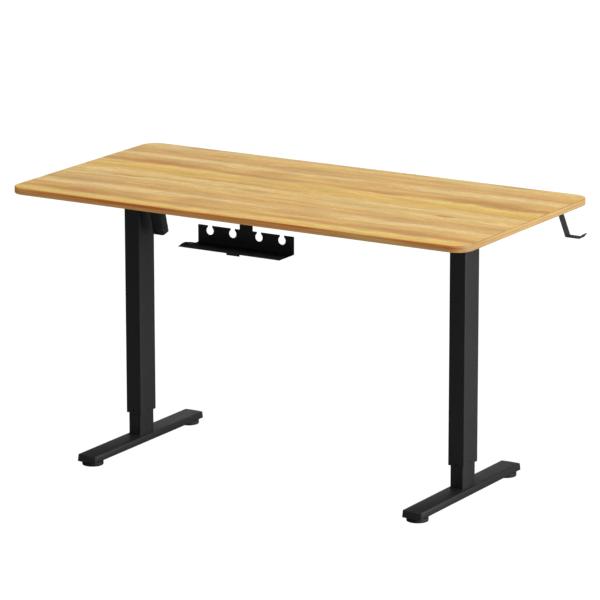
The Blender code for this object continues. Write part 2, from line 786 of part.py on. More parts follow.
def bracket_outline(drop):
    """A side bracket's side view in YZ, below a top line lowered by drop."""
    half = BRACKET_LENGTH / 2
    top = BRACKET_TOP - drop
    low = 0.02 if drop else 0.0
    return [
        (-half - low, top),
        (-half - low, BRACKET_TOP - BRACKET_END - low),
        (-BRACKET_DEEP_HALF, BRACKET_TOP - BRACKET_DEEP - low),
        (BRACKET_DEEP_HALF, BRACKET_TOP - BRACKET_DEEP - low),
        (half + low, BRACKET_TOP - BRACKET_END - low),
        (half + low, top),
    ]


def build_bracket(side):
    leg_x = SIDES[side]
    half = BRACKET_WIDTH / 2
    bracket = add(
        side + "_side_bracket", prism(bracket_outline(0), -half, half, "X"), BLACK_PAINT, frame, (leg_x, 0, 0)
    )
    inside = half - BRACKET_SHEET
    hollow = prism(bracket_outline(BRACKET_SHEET), -inside, inside, "X")
    shape_with(bracket, cutter(hollow, frame, (leg_x, 0, 0)))
    inward = 1 if leg_x < 0 else -1
    slot = rod(SHAFT_SLOT, 0, inward * BRACKET_WIDTH, "X", 16)
    shape_with(bracket, cutter(slot, frame, (leg_x, 0, SHAFT_Z)))
    return bracket


def build_crossbeams():
    end = LEG_X - BRACKET_WIDTH / 2 - GAP
    outer = rounded_rectangle(CROSSBEAM_WIDTH, CROSSBEAM_HEIGHT, 0.003, 3)
    inner = rounded_rectangle(
        CROSSBEAM_WIDTH - 2 * TUBE_WALL, CROSSBEAM_HEIGHT - 2 * TUBE_WALL, 0.0015, 3
    )
    level = UNDERSIDE - CROSSBEAM_DROP - CROSSBEAM_HEIGHT / 2
    for name, way in (("rear_crossbeam", -1), ("front_crossbeam", 1)):
        place = (0, way * CROSSBEAM_SPACING / 2, level)
        add(name, tube(outer, inner, -end, end, "X"), BLACK_PAINT, frame, place, True)


# ---------------------------------------------------------------- cable tray


def build_tray():
    half = TRAY_LENGTH / 2
    top = HEIGHT - TRAY_TOP_DROP
    shelf = top - TRAY_PLATE_HEIGHT
    front = TRAY_PLATE_Y - TRAY_SHELF_DEPTH
    path = filleted([(TRAY_PLATE_Y, top), (TRAY_PLATE_Y, shelf), (front, shelf)], 0.002)
    outline = strip(path, TRAY_SHEET)
    tray = add("cable_tray", prism(outline, -half, half, "X"), BLACK_PAINT, frame)
    thick = TRAY_SHEET / 2 - TRAY_STEP
    back = TRAY_PLATE_Y - TRAY_EXTENSION_BACK
    edge = -half - TRAY_EXTENSION
    wing = block((edge, -half + 0.004), (front + TRAY_STEP, back), (shelf - thick, shelf + thick))
    shape_with(tray, cutter(wing, frame), "UNION")
    tab = [
        (front + 0.002, shelf),
        (front + 0.024, shelf + TRAY_TAB_HEIGHT),
        (front + 0.038, shelf + TRAY_TAB_HEIGHT),
        (back - 0.002, shelf),
    ]
    tab_mesh = prism(tab, edge + TRAY_STEP, edge + TRAY_SHEET, "X")
    shape_with(tray, cutter(tab_mesh, frame), "UNION")
    for place in KEYHOLE_PLACES:
        centre = top - KEYHOLE_DROP
        rise = math.asin(KEYHOLE_NECK / 2 / KEYHOLE_RADIUS)
        keyhole = arc((0, 0), KEYHOLE_RADIUS, math.pi / 2 + rise, 2.5 * math.pi - rise, 18)
        keyhole += [(KEYHOLE_NECK / 2, KEYHOLE_DROP + CUT_PAST), (-KEYHOLE_NECK / 2, KEYHOLE_DROP + CUT_PAST)]
        hole = prism(keyhole, -CUT_PAST, CUT_PAST, "Y")
        shape_with(tray, cutter(hole, frame, (place, TRAY_PLATE_Y, centre)))


def hanger_screw_places():
    y = TRAY_PLATE_Y + HANGER_FLANGE / 2 + 0.004
    return [(-HANGER_SCREW_SPACING / 2, y), (HANGER_SCREW_SPACING / 2, y)]


def build_hanger():
    plate = UNDERSIDE - GAP - HANGER_SHEET / 2
    back = TRAY_PLATE_Y + TRAY_SHEET / 2 + GAP + HANGER_SHEET / 2
    shelf = HEIGHT - TRAY_TOP_DROP - TRAY_PLATE_HEIGHT
    under = shelf - TRAY_SHEET / 2 - GAP - HANGER_SHEET / 2
    front = back - HANGER_REACH
    points = [
        (back + HANGER_FLANGE, plate),
        (back, plate),
        (back, under),
        (front, under),
        (front, under - HANGER_LIP),
    ]
    outline = strip(filleted(points, 0.0025), HANGER_SHEET)
    half = HANGER_WIDTH / 2
    hanger = add("tray_hanger", prism(outline, -half, half, "X"), BLACK_PAINT, frame)
    for place in hanger_screw_places():
        screw_hole(hanger, place)


# ---------------------------------------------------------------- headphone hook


def hook_bend_x():
    return TOP_LENGTH / 2 - HOOK_BEND_INSET


def hook_screw_places():
    y = HOOK_NEAR_SIDE + HOOK_WIDTH / 2
    first = hook_bend_x() - HOOK_PLATE + HOOK_SCREW_INSET
    return [(first, y), (first + HOOK_SCREW_PITCH, y)]


def build_hook():
    plate = UNDERSIDE - GAP - HOOK_SHEET / 2
    arm = HEIGHT - HOOK_DROP + HOOK_SHEET / 2
    bend = hook_bend_x()
    knee = bend + (plate - arm) * math.tan(HOOK_SLOPE)
    lip_x = HOOK_LIP * math.cos(HOOK_LIP_ANGLE)
    lip_z = HOOK_LIP * math.sin(HOOK_LIP_ANGLE)
    tip_x = TOP_LENGTH / 2 + HOOK_REACH - HOOK_SHEET / 2 * math.sin(HOOK_LIP_ANGLE)
    points = [
        (bend - HOOK_PLATE, plate),
        (bend, plate),
        (knee, arm),
        (tip_x - lip_x, arm),
        (tip_x, arm + lip_z),
    ]
    outline = strip(filleted(points, 0.003), HOOK_SHEET)
    mesh = prism(outline, HOOK_NEAR_SIDE, HOOK_NEAR_SIDE + HOOK_WIDTH, "Y")
    hook = add("headphone_hook", mesh, BLACK_PAINT, frame)
    for place in hook_screw_places():
        screw_hole(hook, place)


# ---------------------------------------------------------------- control box


def box_levels():
    high = UNDERSIDE - GAP
    return high - BOX_HEIGHT, high - BOX_BASE, high


def inlet_y():
    return BOX_CENTRE[1] - INLET_OFFSET


def build_control_box():
    low, join, high = box_levels()
    place = (*BOX_CENTRE, 0)
    outline = rounded_rectangle(BOX_LENGTH, BOX_DEPTH, BOX_CORNER, 4)
    add("control_box_base", prism(outline, join, high), BLACK_PLASTIC, frame, place)
    cover = add("control_box_cover", prism(outline, low, join - GAP), BLACK_PLASTIC, frame, place)
    soften(cover, 50)
    inside = rounded_rectangle(
        BOX_LENGTH - 2 * BOX_WALL, BOX_DEPTH - 2 * BOX_WALL, BOX_CORNER - BOX_WALL, 4
    )
    shape_with(cover, cutter(prism(inside, low + BOX_WALL, join + CUT_PAST), frame, place))

    end_x = BOX_CENTRE[0] + BOX_LENGTH / 2
    middle = (low + join) / 2
    half_width, half_height = INLET_WIDTH / 2, INLET_HEIGHT / 2
    window = block(
        (end_x - CUT_PAST, end_x + CUT_PAST),
        (inlet_y() - half_width - GAP, inlet_y() + half_width + GAP),
        (middle - half_height - GAP, middle + half_height + GAP),
    )
    shape_with(cover, cutter(window, frame))

    board_top = join - 0.006
    board = block(
        (BOX_CENTRE[0] - BOX_LENGTH / 2 + 0.006, end_x - INLET_DEPTH / 2),
        (BOX_CENTRE[1] - BOX_DEPTH / 2 + 0.005, BOX_CENTRE[1] + BOX_DEPTH / 2 - 0.005),
        (board_top - BOARD_THICKNESS, board_top),
    )
    circuit = add("control_board", board, CIRCUIT_GREEN, frame)
    inlet = block(
        (end_x - INLET_DEPTH, end_x - GAP),
        (inlet_y() - half_width, inlet_y() + half_width),
        (middle - half_height, middle + half_height),
    )
    shape_with(circuit, cutter(inlet, frame), "UNION")
    recess = rounded_rectangle(INLET_WIDTH - 0.006, INLET_HEIGHT - 0.006, 0.004, 3)
    recess_guide = cutter(prism(recess, -0.009, 0.01, "X"), frame, (end_x, inlet_y(), middle))
    shape_with(circuit, recess_guide)
    parts_low = low + BOX_WALL + 0.004
    left = BOX_CENTRE[0] - 0.060
    for number, size in enumerate((0.014, 0.020, 0.016)):
        start = left + number * 0.035
        component = block(
            (start, start + size),
            (BOX_CENTRE[1] - size / 2, BOX_CENTRE[1] + size / 2),
            (parts_low, board_top - BOARD_THICKNESS / 2),
        )
        shape_with(circuit, cutter(component, frame), "UNION")
    for end in (-1, 1):
        pillar = rod(0.003, board_top - BOARD_THICKNESS / 2, join - GAP, steps=12)
        pillar_place = (BOX_CENTRE[0] + end * 0.080, BOX_CENTRE[1], 0)
        shape_with(circuit, cutter(pillar, frame, pillar_place), "UNION")


# ---------------------------------------------------------------- handset


def handset_front():
    return TOP_DEPTH / 2 - HANDSET_SETBACK


def build_handset():
    high = UNDERSIDE - GAP
    low = high - HANDSET_HEIGHT
    front = handset_front()
    back = front - HANDSET_DEPTH
    half = HANDSET_LENGTH / 2
    profile = [(back, high), (back, high - 0.010), (front - 0.020, low), (front, low), (front, high)]
    case = add(
        "handset_case", prism(profile, -half, half, "X"), BLACK_PLASTIC, frame, (HANDSET_CENTRE_X, 0, 0)
    )
    soften(case, 20)
    wall = HANDSET_WALL
    hollow = [
        (back + wall, high + CUT_PAST),
        (back + wall, high - 0.010 + wall * 0.6),
        (front - 0.020, low + wall),
        (front - wall, low + wall),
        (front - wall, high + CUT_PAST),
    ]
    guide = prism(hollow, -half + wall, half - wall, "X")
    shape_with(case, cutter(guide, frame, (HANDSET_CENTRE_X, 0, 0)))

    level = (low + high) / 2
    window_outline = rounded_rectangle(DISPLAY_LENGTH + 2 * GAP, DISPLAY_HEIGHT + 2 * GAP, 0.0015, 2)
    window = prism(window_outline, -wall - 0.002, CUT_PAST, "Y")
    shape_with(case, cutter(window, frame, (HANDSET_CENTRE_X + 0.007, front, level)))
    pane = prism(rounded_rectangle(DISPLAY_LENGTH, DISPLAY_HEIGHT, 0.0015, 2), -wall, -GAP, "Y")
    add("handset_display", pane, SMOKED_GLASS, frame, (HANDSET_CENTRE_X + 0.007, front, level))

    stem = [
        (BUTTON_RADIUS + 0.0012, -wall - 0.0013),
        (BUTTON_RADIUS + 0.0012, -wall - GAP),
        (BUTTON_RADIUS, -wall - GAP),
        (BUTTON_RADIUS, BUTTON_PROUD - 0.0005),
        (BUTTON_RADIUS - 0.0006, BUTTON_PROUD),
    ]
    for name, offset in zip(BUTTON_NAMES, BUTTON_PLACES):
        place = (HANDSET_CENTRE_X + offset, front, level)
        hole = rod(BUTTON_RADIUS + GAP + 0.0002, -wall - 0.002, CUT_PAST, "Y", 16)
        shape_with(case, cutter(hole, frame, place))
        button = add(name + "_button", lathe(stem, 16), GREY_PLASTIC, frame, place, True)
        button.rotation_euler = Euler((-math.pi / 2, 0, 0))


# ---------------------------------------------------------------- leads


def hanging_route(start, start_way, end, end_way, reach, droop):
    """Straight out at both ends, and between them a cubic Bezier curve with its handles lowered."""
    first = Vector(start) + Vector(start_way) * LEAD_STRAIGHT
    last = Vector(end) + Vector(end_way) * LEAD_STRAIGHT
    sink = Vector((0, 0, droop))
    first_handle = first + Vector(start_way) * reach - sink
    last_handle = last + Vector(end_way) * reach - sink
    route = [Vector(start)]
    for step in range(LEAD_STEPS + 1):
        t = step / LEAD_STEPS
        s = 1 - t
        route.append(first * s**3 + first_handle * 3 * s**2 * t + last_handle * 3 * s * t**2 + last * t**3)
    route.append(Vector(end))
    return route


def build_lead(name, route):
    curve = bpy.data.curves.new(name, "CURVE")
    curve.dimensions = "3D"
    spline = curve.splines.new("POLY")
    spline.points.add(len(route) - 1)
    for point, place in zip(spline.points, route):
        point.co = (*place, 1.0)
    curve.bevel_depth = LEAD_RADIUS
    curve.bevel_resolution = 2
    curve.use_fill_caps = True
    curve.materials.append(RUBBER)
    made = bpy.data.objects.new(name, curve)
    bpy.context.scene.collection.objects.link(made)
    made.parent = frame


def build_leads():
    """Motor to control box and handset to control box, both let to hang in a shallow curve."""
    low, join, high = box_levels()
    socket_x = BOX_CENTRE[0] - BOX_LENGTH / 2 - LEAD_GAP
    middle = (low + join) / 2
    tilt = Euler((MOTOR_TILT, 0, 0)).to_matrix()
    gland = Vector((motor_x, worm_y, worm_z)) + tilt @ Vector((0, MOTOR_DEPTH / 2 + LEAD_GAP, -0.045))
    motor_socket = (socket_x, BOX_CENTRE[1] - 0.010, middle)
    route = hanging_route(gland, tilt @ Vector((0, 1, 0)), motor_socket, (-1, 0, 0), 0.060, 0.020)
    build_lead("motor_lead", route)
    back = handset_front() - HANDSET_DEPTH - LEAD_GAP
    handset_socket = (socket_x, BOX_CENTRE[1] + 0.020, middle)
    exit_place = (HANDSET_CENTRE_X, back, UNDERSIDE - 0.006)
    route = hanging_route(exit_place, (0, -1, 0), handset_socket, (-1, 0, 0), 0.070, 0.027)
    build_lead("handset_lead", route)


# ---------------------------------------------------------------- assembly

bracket_screws = {}
for side, leg_x in SIDES.items():
    for end_name, end in (("rear", -1), ("front", 1)):
        bracket_screws[f"{side}_{end_name}_top_screw"] = (leg_x, end * BRACKET_SCREW_SPACING / 2)
hanger_screws = dict(zip(("hanger_screw_left", "hanger_screw_right"), hanger_screw_places()))
hook_screws = dict(zip(("hook_screw_inner", "hook_screw_outer"), hook_screw_places()))

build_tabletop([*bracket_screws.values(), *hanger_screws.values(), *hook_screws.values()])
for side in SIDES:
    build_foot(side)
    for end_name, end in (("rear", -1), ("front", 1)):
        build_pad(side, end_name, end)
    build_columns(side)
    build_nut(side)
    build_head(side)
    build_screw(side)
    bracket = build_bracket(side)
    for name, place in bracket_screws.items():
        if name.startswith(side):
            screw_hole(bracket, place)
            wood_screw(name, place, BRACKET_TOP - BRACKET_SHEET)
build_crossbeams()
build_shaft()
build_motor()
build_tray()
build_hanger()
for name, place in hanger_screws.items():
    wood_screw(name, place, UNDERSIDE - GAP - HANGER_SHEET)
build_hook()
for name, place in hook_screws.items():
    wood_screw(name, place, UNDERSIDE - GAP - HOOK_SHEET)
build_control_box()
build_handset()
build_leads()
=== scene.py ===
"""A height adjustable desk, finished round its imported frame: oak-look top, black coated steel, one motor."""

import json
import math

import bmesh
import bpy
import numpy as np
from mathutils import Matrix, Vector

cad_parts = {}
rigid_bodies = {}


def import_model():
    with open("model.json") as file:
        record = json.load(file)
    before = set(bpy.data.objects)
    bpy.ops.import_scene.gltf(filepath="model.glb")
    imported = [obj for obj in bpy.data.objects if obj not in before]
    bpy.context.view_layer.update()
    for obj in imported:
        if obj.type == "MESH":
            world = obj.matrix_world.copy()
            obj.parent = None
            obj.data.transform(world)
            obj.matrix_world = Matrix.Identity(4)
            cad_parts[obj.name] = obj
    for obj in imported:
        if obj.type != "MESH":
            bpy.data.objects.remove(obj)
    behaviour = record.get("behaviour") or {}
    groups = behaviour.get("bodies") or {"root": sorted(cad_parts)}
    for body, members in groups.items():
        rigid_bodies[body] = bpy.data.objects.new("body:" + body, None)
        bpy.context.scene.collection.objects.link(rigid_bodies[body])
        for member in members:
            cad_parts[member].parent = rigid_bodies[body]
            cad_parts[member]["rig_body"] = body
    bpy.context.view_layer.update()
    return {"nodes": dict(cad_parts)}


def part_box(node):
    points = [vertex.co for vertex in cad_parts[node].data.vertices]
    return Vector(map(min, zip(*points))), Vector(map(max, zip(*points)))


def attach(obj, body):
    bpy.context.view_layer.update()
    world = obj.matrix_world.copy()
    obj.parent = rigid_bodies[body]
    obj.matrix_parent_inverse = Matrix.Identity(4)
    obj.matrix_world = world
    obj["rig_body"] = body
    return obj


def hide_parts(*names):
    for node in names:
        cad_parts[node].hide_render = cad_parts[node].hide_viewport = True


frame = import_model()
nodes = frame["nodes"]
scene = bpy.context.scene
scene.view_settings.view_transform = "Standard"


# ---- Camera ---------------------------------------------------------------------------
# A long lens well back from the desk, looking down on its rear right corner.

AZIMUTH = math.radians(31.1805)
ELEVATION = math.radians(13.9193)
ROLL = math.radians(-0.0594)
CAMERA_BACK = 10.7091
CAMERA_ACROSS = 0.0055
CAMERA_DOWN = 0.2901
TOP_MIDDLE = Vector((-0.02575, 0.0, 0.774))

back = Vector(
    (
        math.sin(AZIMUTH) * math.cos(ELEVATION),
        -math.cos(AZIMUTH) * math.cos(ELEVATION),
        math.sin(ELEVATION),
    )
)
level_right = Vector((math.cos(AZIMUTH), math.sin(AZIMUTH), 0.0))
level_up = back.cross(level_right)
right = level_right * math.cos(ROLL) + level_up * math.sin(ROLL)
up = level_up * math.cos(ROLL) - level_right * math.sin(ROLL)
SENSOR_WIDTH = 36.0
LENS = 240.385
camera_data = bpy.data.cameras.new("camera")
camera_data.sensor_width = SENSOR_WIDTH
camera_data.lens = LENS
camera_data.clip_end = 100.0
camera = bpy.data.objects.new("camera", camera_data)
scene.collection.objects.link(camera)
camera.matrix_world = Matrix.Translation(
    TOP_MIDDLE + back * CAMERA_BACK + right * CAMERA_ACROSS - up * CAMERA_DOWN
) @ Matrix((right, up, back)).transposed().to_4x4()
scene.camera = camera


# ---- Studio ---------------------------------------------------------------------------
# A white floor that runs into a white surround, a broad light on the desk's right, one overhead, one
# high at the rear and a weak low one at the far left. The dim floor keeps the steel black below.

FLOOR_SIZE = 90.0
FLOOR_WHITE = 0.10
FLOOR_GLOW = 0.975
SURROUND = 0.12
# Each light's name, place, aim, size and power.
LIGHTS = (
    ("right_light", (8.0, 0.9, 2.6), (0.0, 0.0, 0.45), (5.2, 3.4), 880.0),
    ("top_light", (0.2, 1.6, 5.2), (0.0, 0.0, 0.5), (4.4, 3.4), 98.0),
    ("rear_light", (-0.5, -3.2, 7.0), (0.0, 0.0, 0.3), (3.0, 2.2), 255.0),
    ("far_light", (-4.0, 6.5, 1.6), (0.0, 0.0, 0.1), (3.0, 1.6), 13.0),
)


def add_node(tree, kind, links=None, **settings):
    """One shader node; links maps a socket's name or number to a value or to another node's output."""
    made = tree.nodes.new(kind)
    for name, value in settings.items():
        setattr(made, name, value)
    for name, value in (links or {}).items():
        if isinstance(value, bpy.types.NodeSocket):
            tree.links.new(value, made.inputs[name])
        else:
            made.inputs[name].default_value = value
    return made


def area_light(name, place, aim, size, power):
    light = bpy.data.lights.new(name, "AREA")
    light.shape = "RECTANGLE"
    light.size, light.size_y = size
    light.energy = power
    made = bpy.data.objects.new(name, light)
    scene.collection.objects.link(made)
    made.location = place
    made.rotation_mode = "QUATERNION"
    made.rotation_quaternion = (Vector(aim) - Vector(place)).to_track_quat("-Z", "Y")


for light_values in LIGHTS:
    area_light(*light_values)

world = bpy.data.worlds.new("surround")
world.use_nodes = True
scene.world = world
sky = world.node_tree
sky.nodes.clear()
seen = add_node(sky, "ShaderNodeLightPath").outputs["Is Camera Ray"]
bright = add_node(sky, "ShaderNodeBackground", {"Color": (1, 1, 1, 1), "Strength": 1.0})
soft = add_node(sky, "ShaderNodeBackground", {"Color": (1, 1, 1, 1), "Strength": SURROUND})
sky_mix = add_node(sky, "ShaderNodeMixShader", {0: seen, 1: soft.outputs[0], 2: bright.outputs[0]})
add_node(sky, "ShaderNodeOutputWorld", {0: sky_mix.outputs[0]})

floor_paint = bpy.data.materials.new("white_floor")
floor_paint.use_nodes = True
paint = floor_paint.node_tree
paint.nodes.clear()
flat = add_node(paint, "ShaderNodeBsdfDiffuse", {"Color": (FLOOR_WHITE,) * 3 + (1,)})
dim = add_node(paint, "ShaderNodeBsdfDiffuse", {"Color": (0.30, 0.30, 0.30, 1)})
glow = add_node(paint, "ShaderNodeEmission", {"Color": (1, 1, 1, 1), "Strength": FLOOR_GLOW})
lit = add_node(paint, "ShaderNodeAddShader", {0: flat.outputs[0], 1: glow.outputs[0]})
path = add_node(paint, "ShaderNodeLightPath")
choice = {0: path.outputs["Is Camera Ray"], 1: dim.outputs[0], 2: lit.outputs[0]}
above = add_node(paint, "ShaderNodeMixShader", choice)
clear = add_node(paint, "ShaderNodeBsdfTransparent")
under = add_node(paint, "ShaderNodeNewGeometry")
choice = {0: under.outputs["Backfacing"], 1: above.outputs[0], 2: clear.outputs[0]}
both = add_node(paint, "ShaderNodeMixShader", choice)
add_node(paint, "ShaderNodeOutputMaterial", {0: both.outputs[0]})

half_floor = FLOOR_SIZE / 2
floor_mesh = bpy.data.meshes.new("floor")
floor_mesh.from_pydata(
    [(x * half_floor, y * half_floor, 0) for x, y in ((-1, -1), (1, -1), (1, 1), (-1, 1))],
    [],
    [(0, 1, 2, 3)],
)
floor_mesh.materials.append(floor_paint)
floor = bpy.data.objects.new("floor", floor_mesh)
scene.collection.objects.link(floor)


# ---- Tabletop -------------------------------------------------------------------------
# An 18 mm chipboard top with an oak-look foil on its face and a plain backing foil beneath. A 2 mm
# plastic band with the same print is glued round the rim and its edges are rounded over.

BAND = 0.002
BAND_JOINT = 0.00008
TOP_CORNER = 0.046
CORNER_STEPS = 14
ROUND_STEPS = 4
top_low, top_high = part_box("tabletop")
top_middle = (top_low + top_high) / 2


def add_group(name, wanted, given):
    """An empty node group with the named number, colour or vector sockets; returns it and its two ends."""
    group = bpy.data.node_groups.new(name, "ShaderNodeTree")
    for socket, kind, value in wanted:
        made = group.interface.new_socket(socket, in_out="INPUT", socket_type="NodeSocket" + kind)
        if value is not None:
            made.default_value = value
    for socket, kind in given:
        group.interface.new_socket(socket, in_out="OUTPUT", socket_type="NodeSocket" + kind)
    return group, group.nodes.new("NodeGroupInput").outputs, group.nodes.new("NodeGroupOutput").inputs


def maths(tree, operation, first, second=0.0, third=0.0):
    """One maths node's output."""
    return add_node(tree, "ShaderNodeMath", {0: first, 1: second, 2: third}, operation=operation).outputs[0]


def blend(tree, first, first_share, second, second_share):
    """Two values added, each in its own share."""
    return maths(tree, "MULTIPLY_ADD", first, first_share, maths(tree, "MULTIPLY", second, second_share))


def tint(tree, shader, colour):
    tree.links.new(colour, shader.inputs["Base Color"])


def roughen(tree, shader, value):
    tree.links.new(value, shader.inputs["Roughness"])


def noise(tree, place, scale, detail=3.0, roughness=0.55, distortion=0.0):
    """The height of three-dimensional noise at a place."""
    values = {"Vector": place, "Scale": scale, "Detail": detail}
    values.update({"Roughness": roughness, "Distortion": distortion})
    return add_node(tree, "ShaderNodeTexNoise", values).outputs[0]


def stretched(tree, place, scale, offset=(0, 0, 0)):
    """A place scaled by a different amount along each axis."""
    return add_node(tree, "ShaderNodeMapping", {0: place, 1: offset, 3: scale}).outputs[0]


def ramp(tree, value, stops):
    """A colour that runs through the stops as the value goes from 0 to 1."""
    made = add_node(tree, "ShaderNodeValToRGB", {0: value})
    bar = made.color_ramp
    while len(bar.elements) < len(stops):
        bar.elements.new(1.0)
    for element, (position, colour) in zip(bar.elements, stops):
        element.position = position
        element.color = (*colour, 1.0)
    return made.outputs[0]


def remap(tree, value, low, high, start, end):
    """A value from low to high carried to start to end, and held there beyond."""
    values = {0: value, 1: low, 2: high, 3: start, 4: end}
    return add_node(tree, "ShaderNodeMapRange", values, clamp=True).outputs[0]


def mix_colour(tree, amount, first, second, kind="MIX"):
    """Two colours mixed by an amount."""
    made = add_node(tree, "ShaderNodeMix", data_type="RGBA", blend_type=kind, clamp_factor=True)
    for socket, value in ((made.inputs[0], amount), (made.inputs[6], first), (made.inputs[7], second)):
        if isinstance(value, bpy.types.NodeSocket):
            tree.links.new(value, socket)
        else:
            socket.default_value = value if isinstance(value, float) else (*value, 1.0)
    return made.outputs[2]


def new_material(name, roughness=0.5, metallic=0.0, specular=0.5):
    """A material with one shader; returns it, its tree, its shader and the object's own coordinates."""
    made = bpy.data.materials.new(name)
    made.use_nodes = True
    tree = made.node_tree
    shader = tree.nodes["Principled BSDF"]
    shader.inputs["Roughness"].default_value = roughness
    shader.inputs["Metallic"].default_value = metallic
    shader.inputs["Specular IOR Level"].default_value = specular
    return made, tree, shader, add_node(tree, "ShaderNodeTexCoord").outputs["Object"]


def bump(tree, shader, height, distance, strength=1.0):
    """A bump of a given depth in metres on the shader's normal."""
    made = add_node(tree, "ShaderNodeBump", {"Strength": strength, "Distance": distance, "Height": height})
    tree.links.new(made.outputs[0], shader.inputs["Normal"])


# The print's repeat along and across the grain, in metres.
REPEAT_LONG = 0.99
REPEAT_WIDE = 0.40

# The print's lengthwise bands, as a share of the repeat across it and a colour.
OAK_BANDS = (
    (0.00, (0.660, 0.430, 0.130)),
    (0.07, (0.760, 0.560, 0.230)),
    (0.14, (0.690, 0.440, 0.140)),
    (0.20, (0.650, 0.400, 0.130)),
    (0.25, (0.600, 0.345, 0.110)),
    (0.31, (0.640, 0.380, 0.130)),
    (0.36, (0.780, 0.580, 0.250)),
    (0.41, (0.760, 0.560, 0.230)),
    (0.46, (0.630, 0.370, 0.110)),
    (0.53, (0.700, 0.440, 0.120)),
    (0.59, (0.560, 0.290, 0.080)),
    (0.66, (0.780, 0.560, 0.160)),
    (0.76, (0.690, 0.430, 0.070)),
    (0.83, (0.640, 0.400, 0.100)),
    (0.92, (0.780, 0.570, 0.230)),
    (0.97, (0.740, 0.520, 0.190)),
    (1.00, (0.660, 0.430, 0.130)),
)

# Cathedral patches and brown streaks: place along and across, half length, half width and strength.
OAK_PATCHES = (
    (0.200, 0.226, 0.170, 0.026, 1.00),
    (0.500, 0.240, 0.160, 0.015, 0.80),
    (0.880, 0.238, 0.140, 0.017, 0.80),
    (0.530, 0.185, 0.080, 0.034, 0.55),
    (0.840, 0.165, 0.110, 0.028, 0.50),
    (0.190, 0.017, 0.070, 0.009, 0.95),
    (0.500, 0.345, 0.200, 0.009, 0.80),
    (0.300, 0.075, 0.120, 0.007, 0.40),
    (0.760, 0.060, 0.120, 0.009, 0.45),
)


def wrapped(tree, value, centre, period):
    """The distance from a centre to the nearest repeat of a value: its remainder about half a period."""
    from_centre = maths(tree, "ADD", value, period * 50.5 - centre)
    return maths(tree, "SUBTRACT", maths(tree, "MODULO", from_centre, period), period / 2)


# The board's left end, user's edge and underside, where the print's slow wave starts, and the span
# of depth over which the rim turns from an end to a long side and the band's painted light blends
# from the ends' tone to the long sides'.
TOP_LEFT = -0.72575
TOP_FRONT = 0.35
TOP_UNDERSIDE = 0.756
WAVE_START = 0.20
CORNER_BLEND = (0.3300, 0.3480)


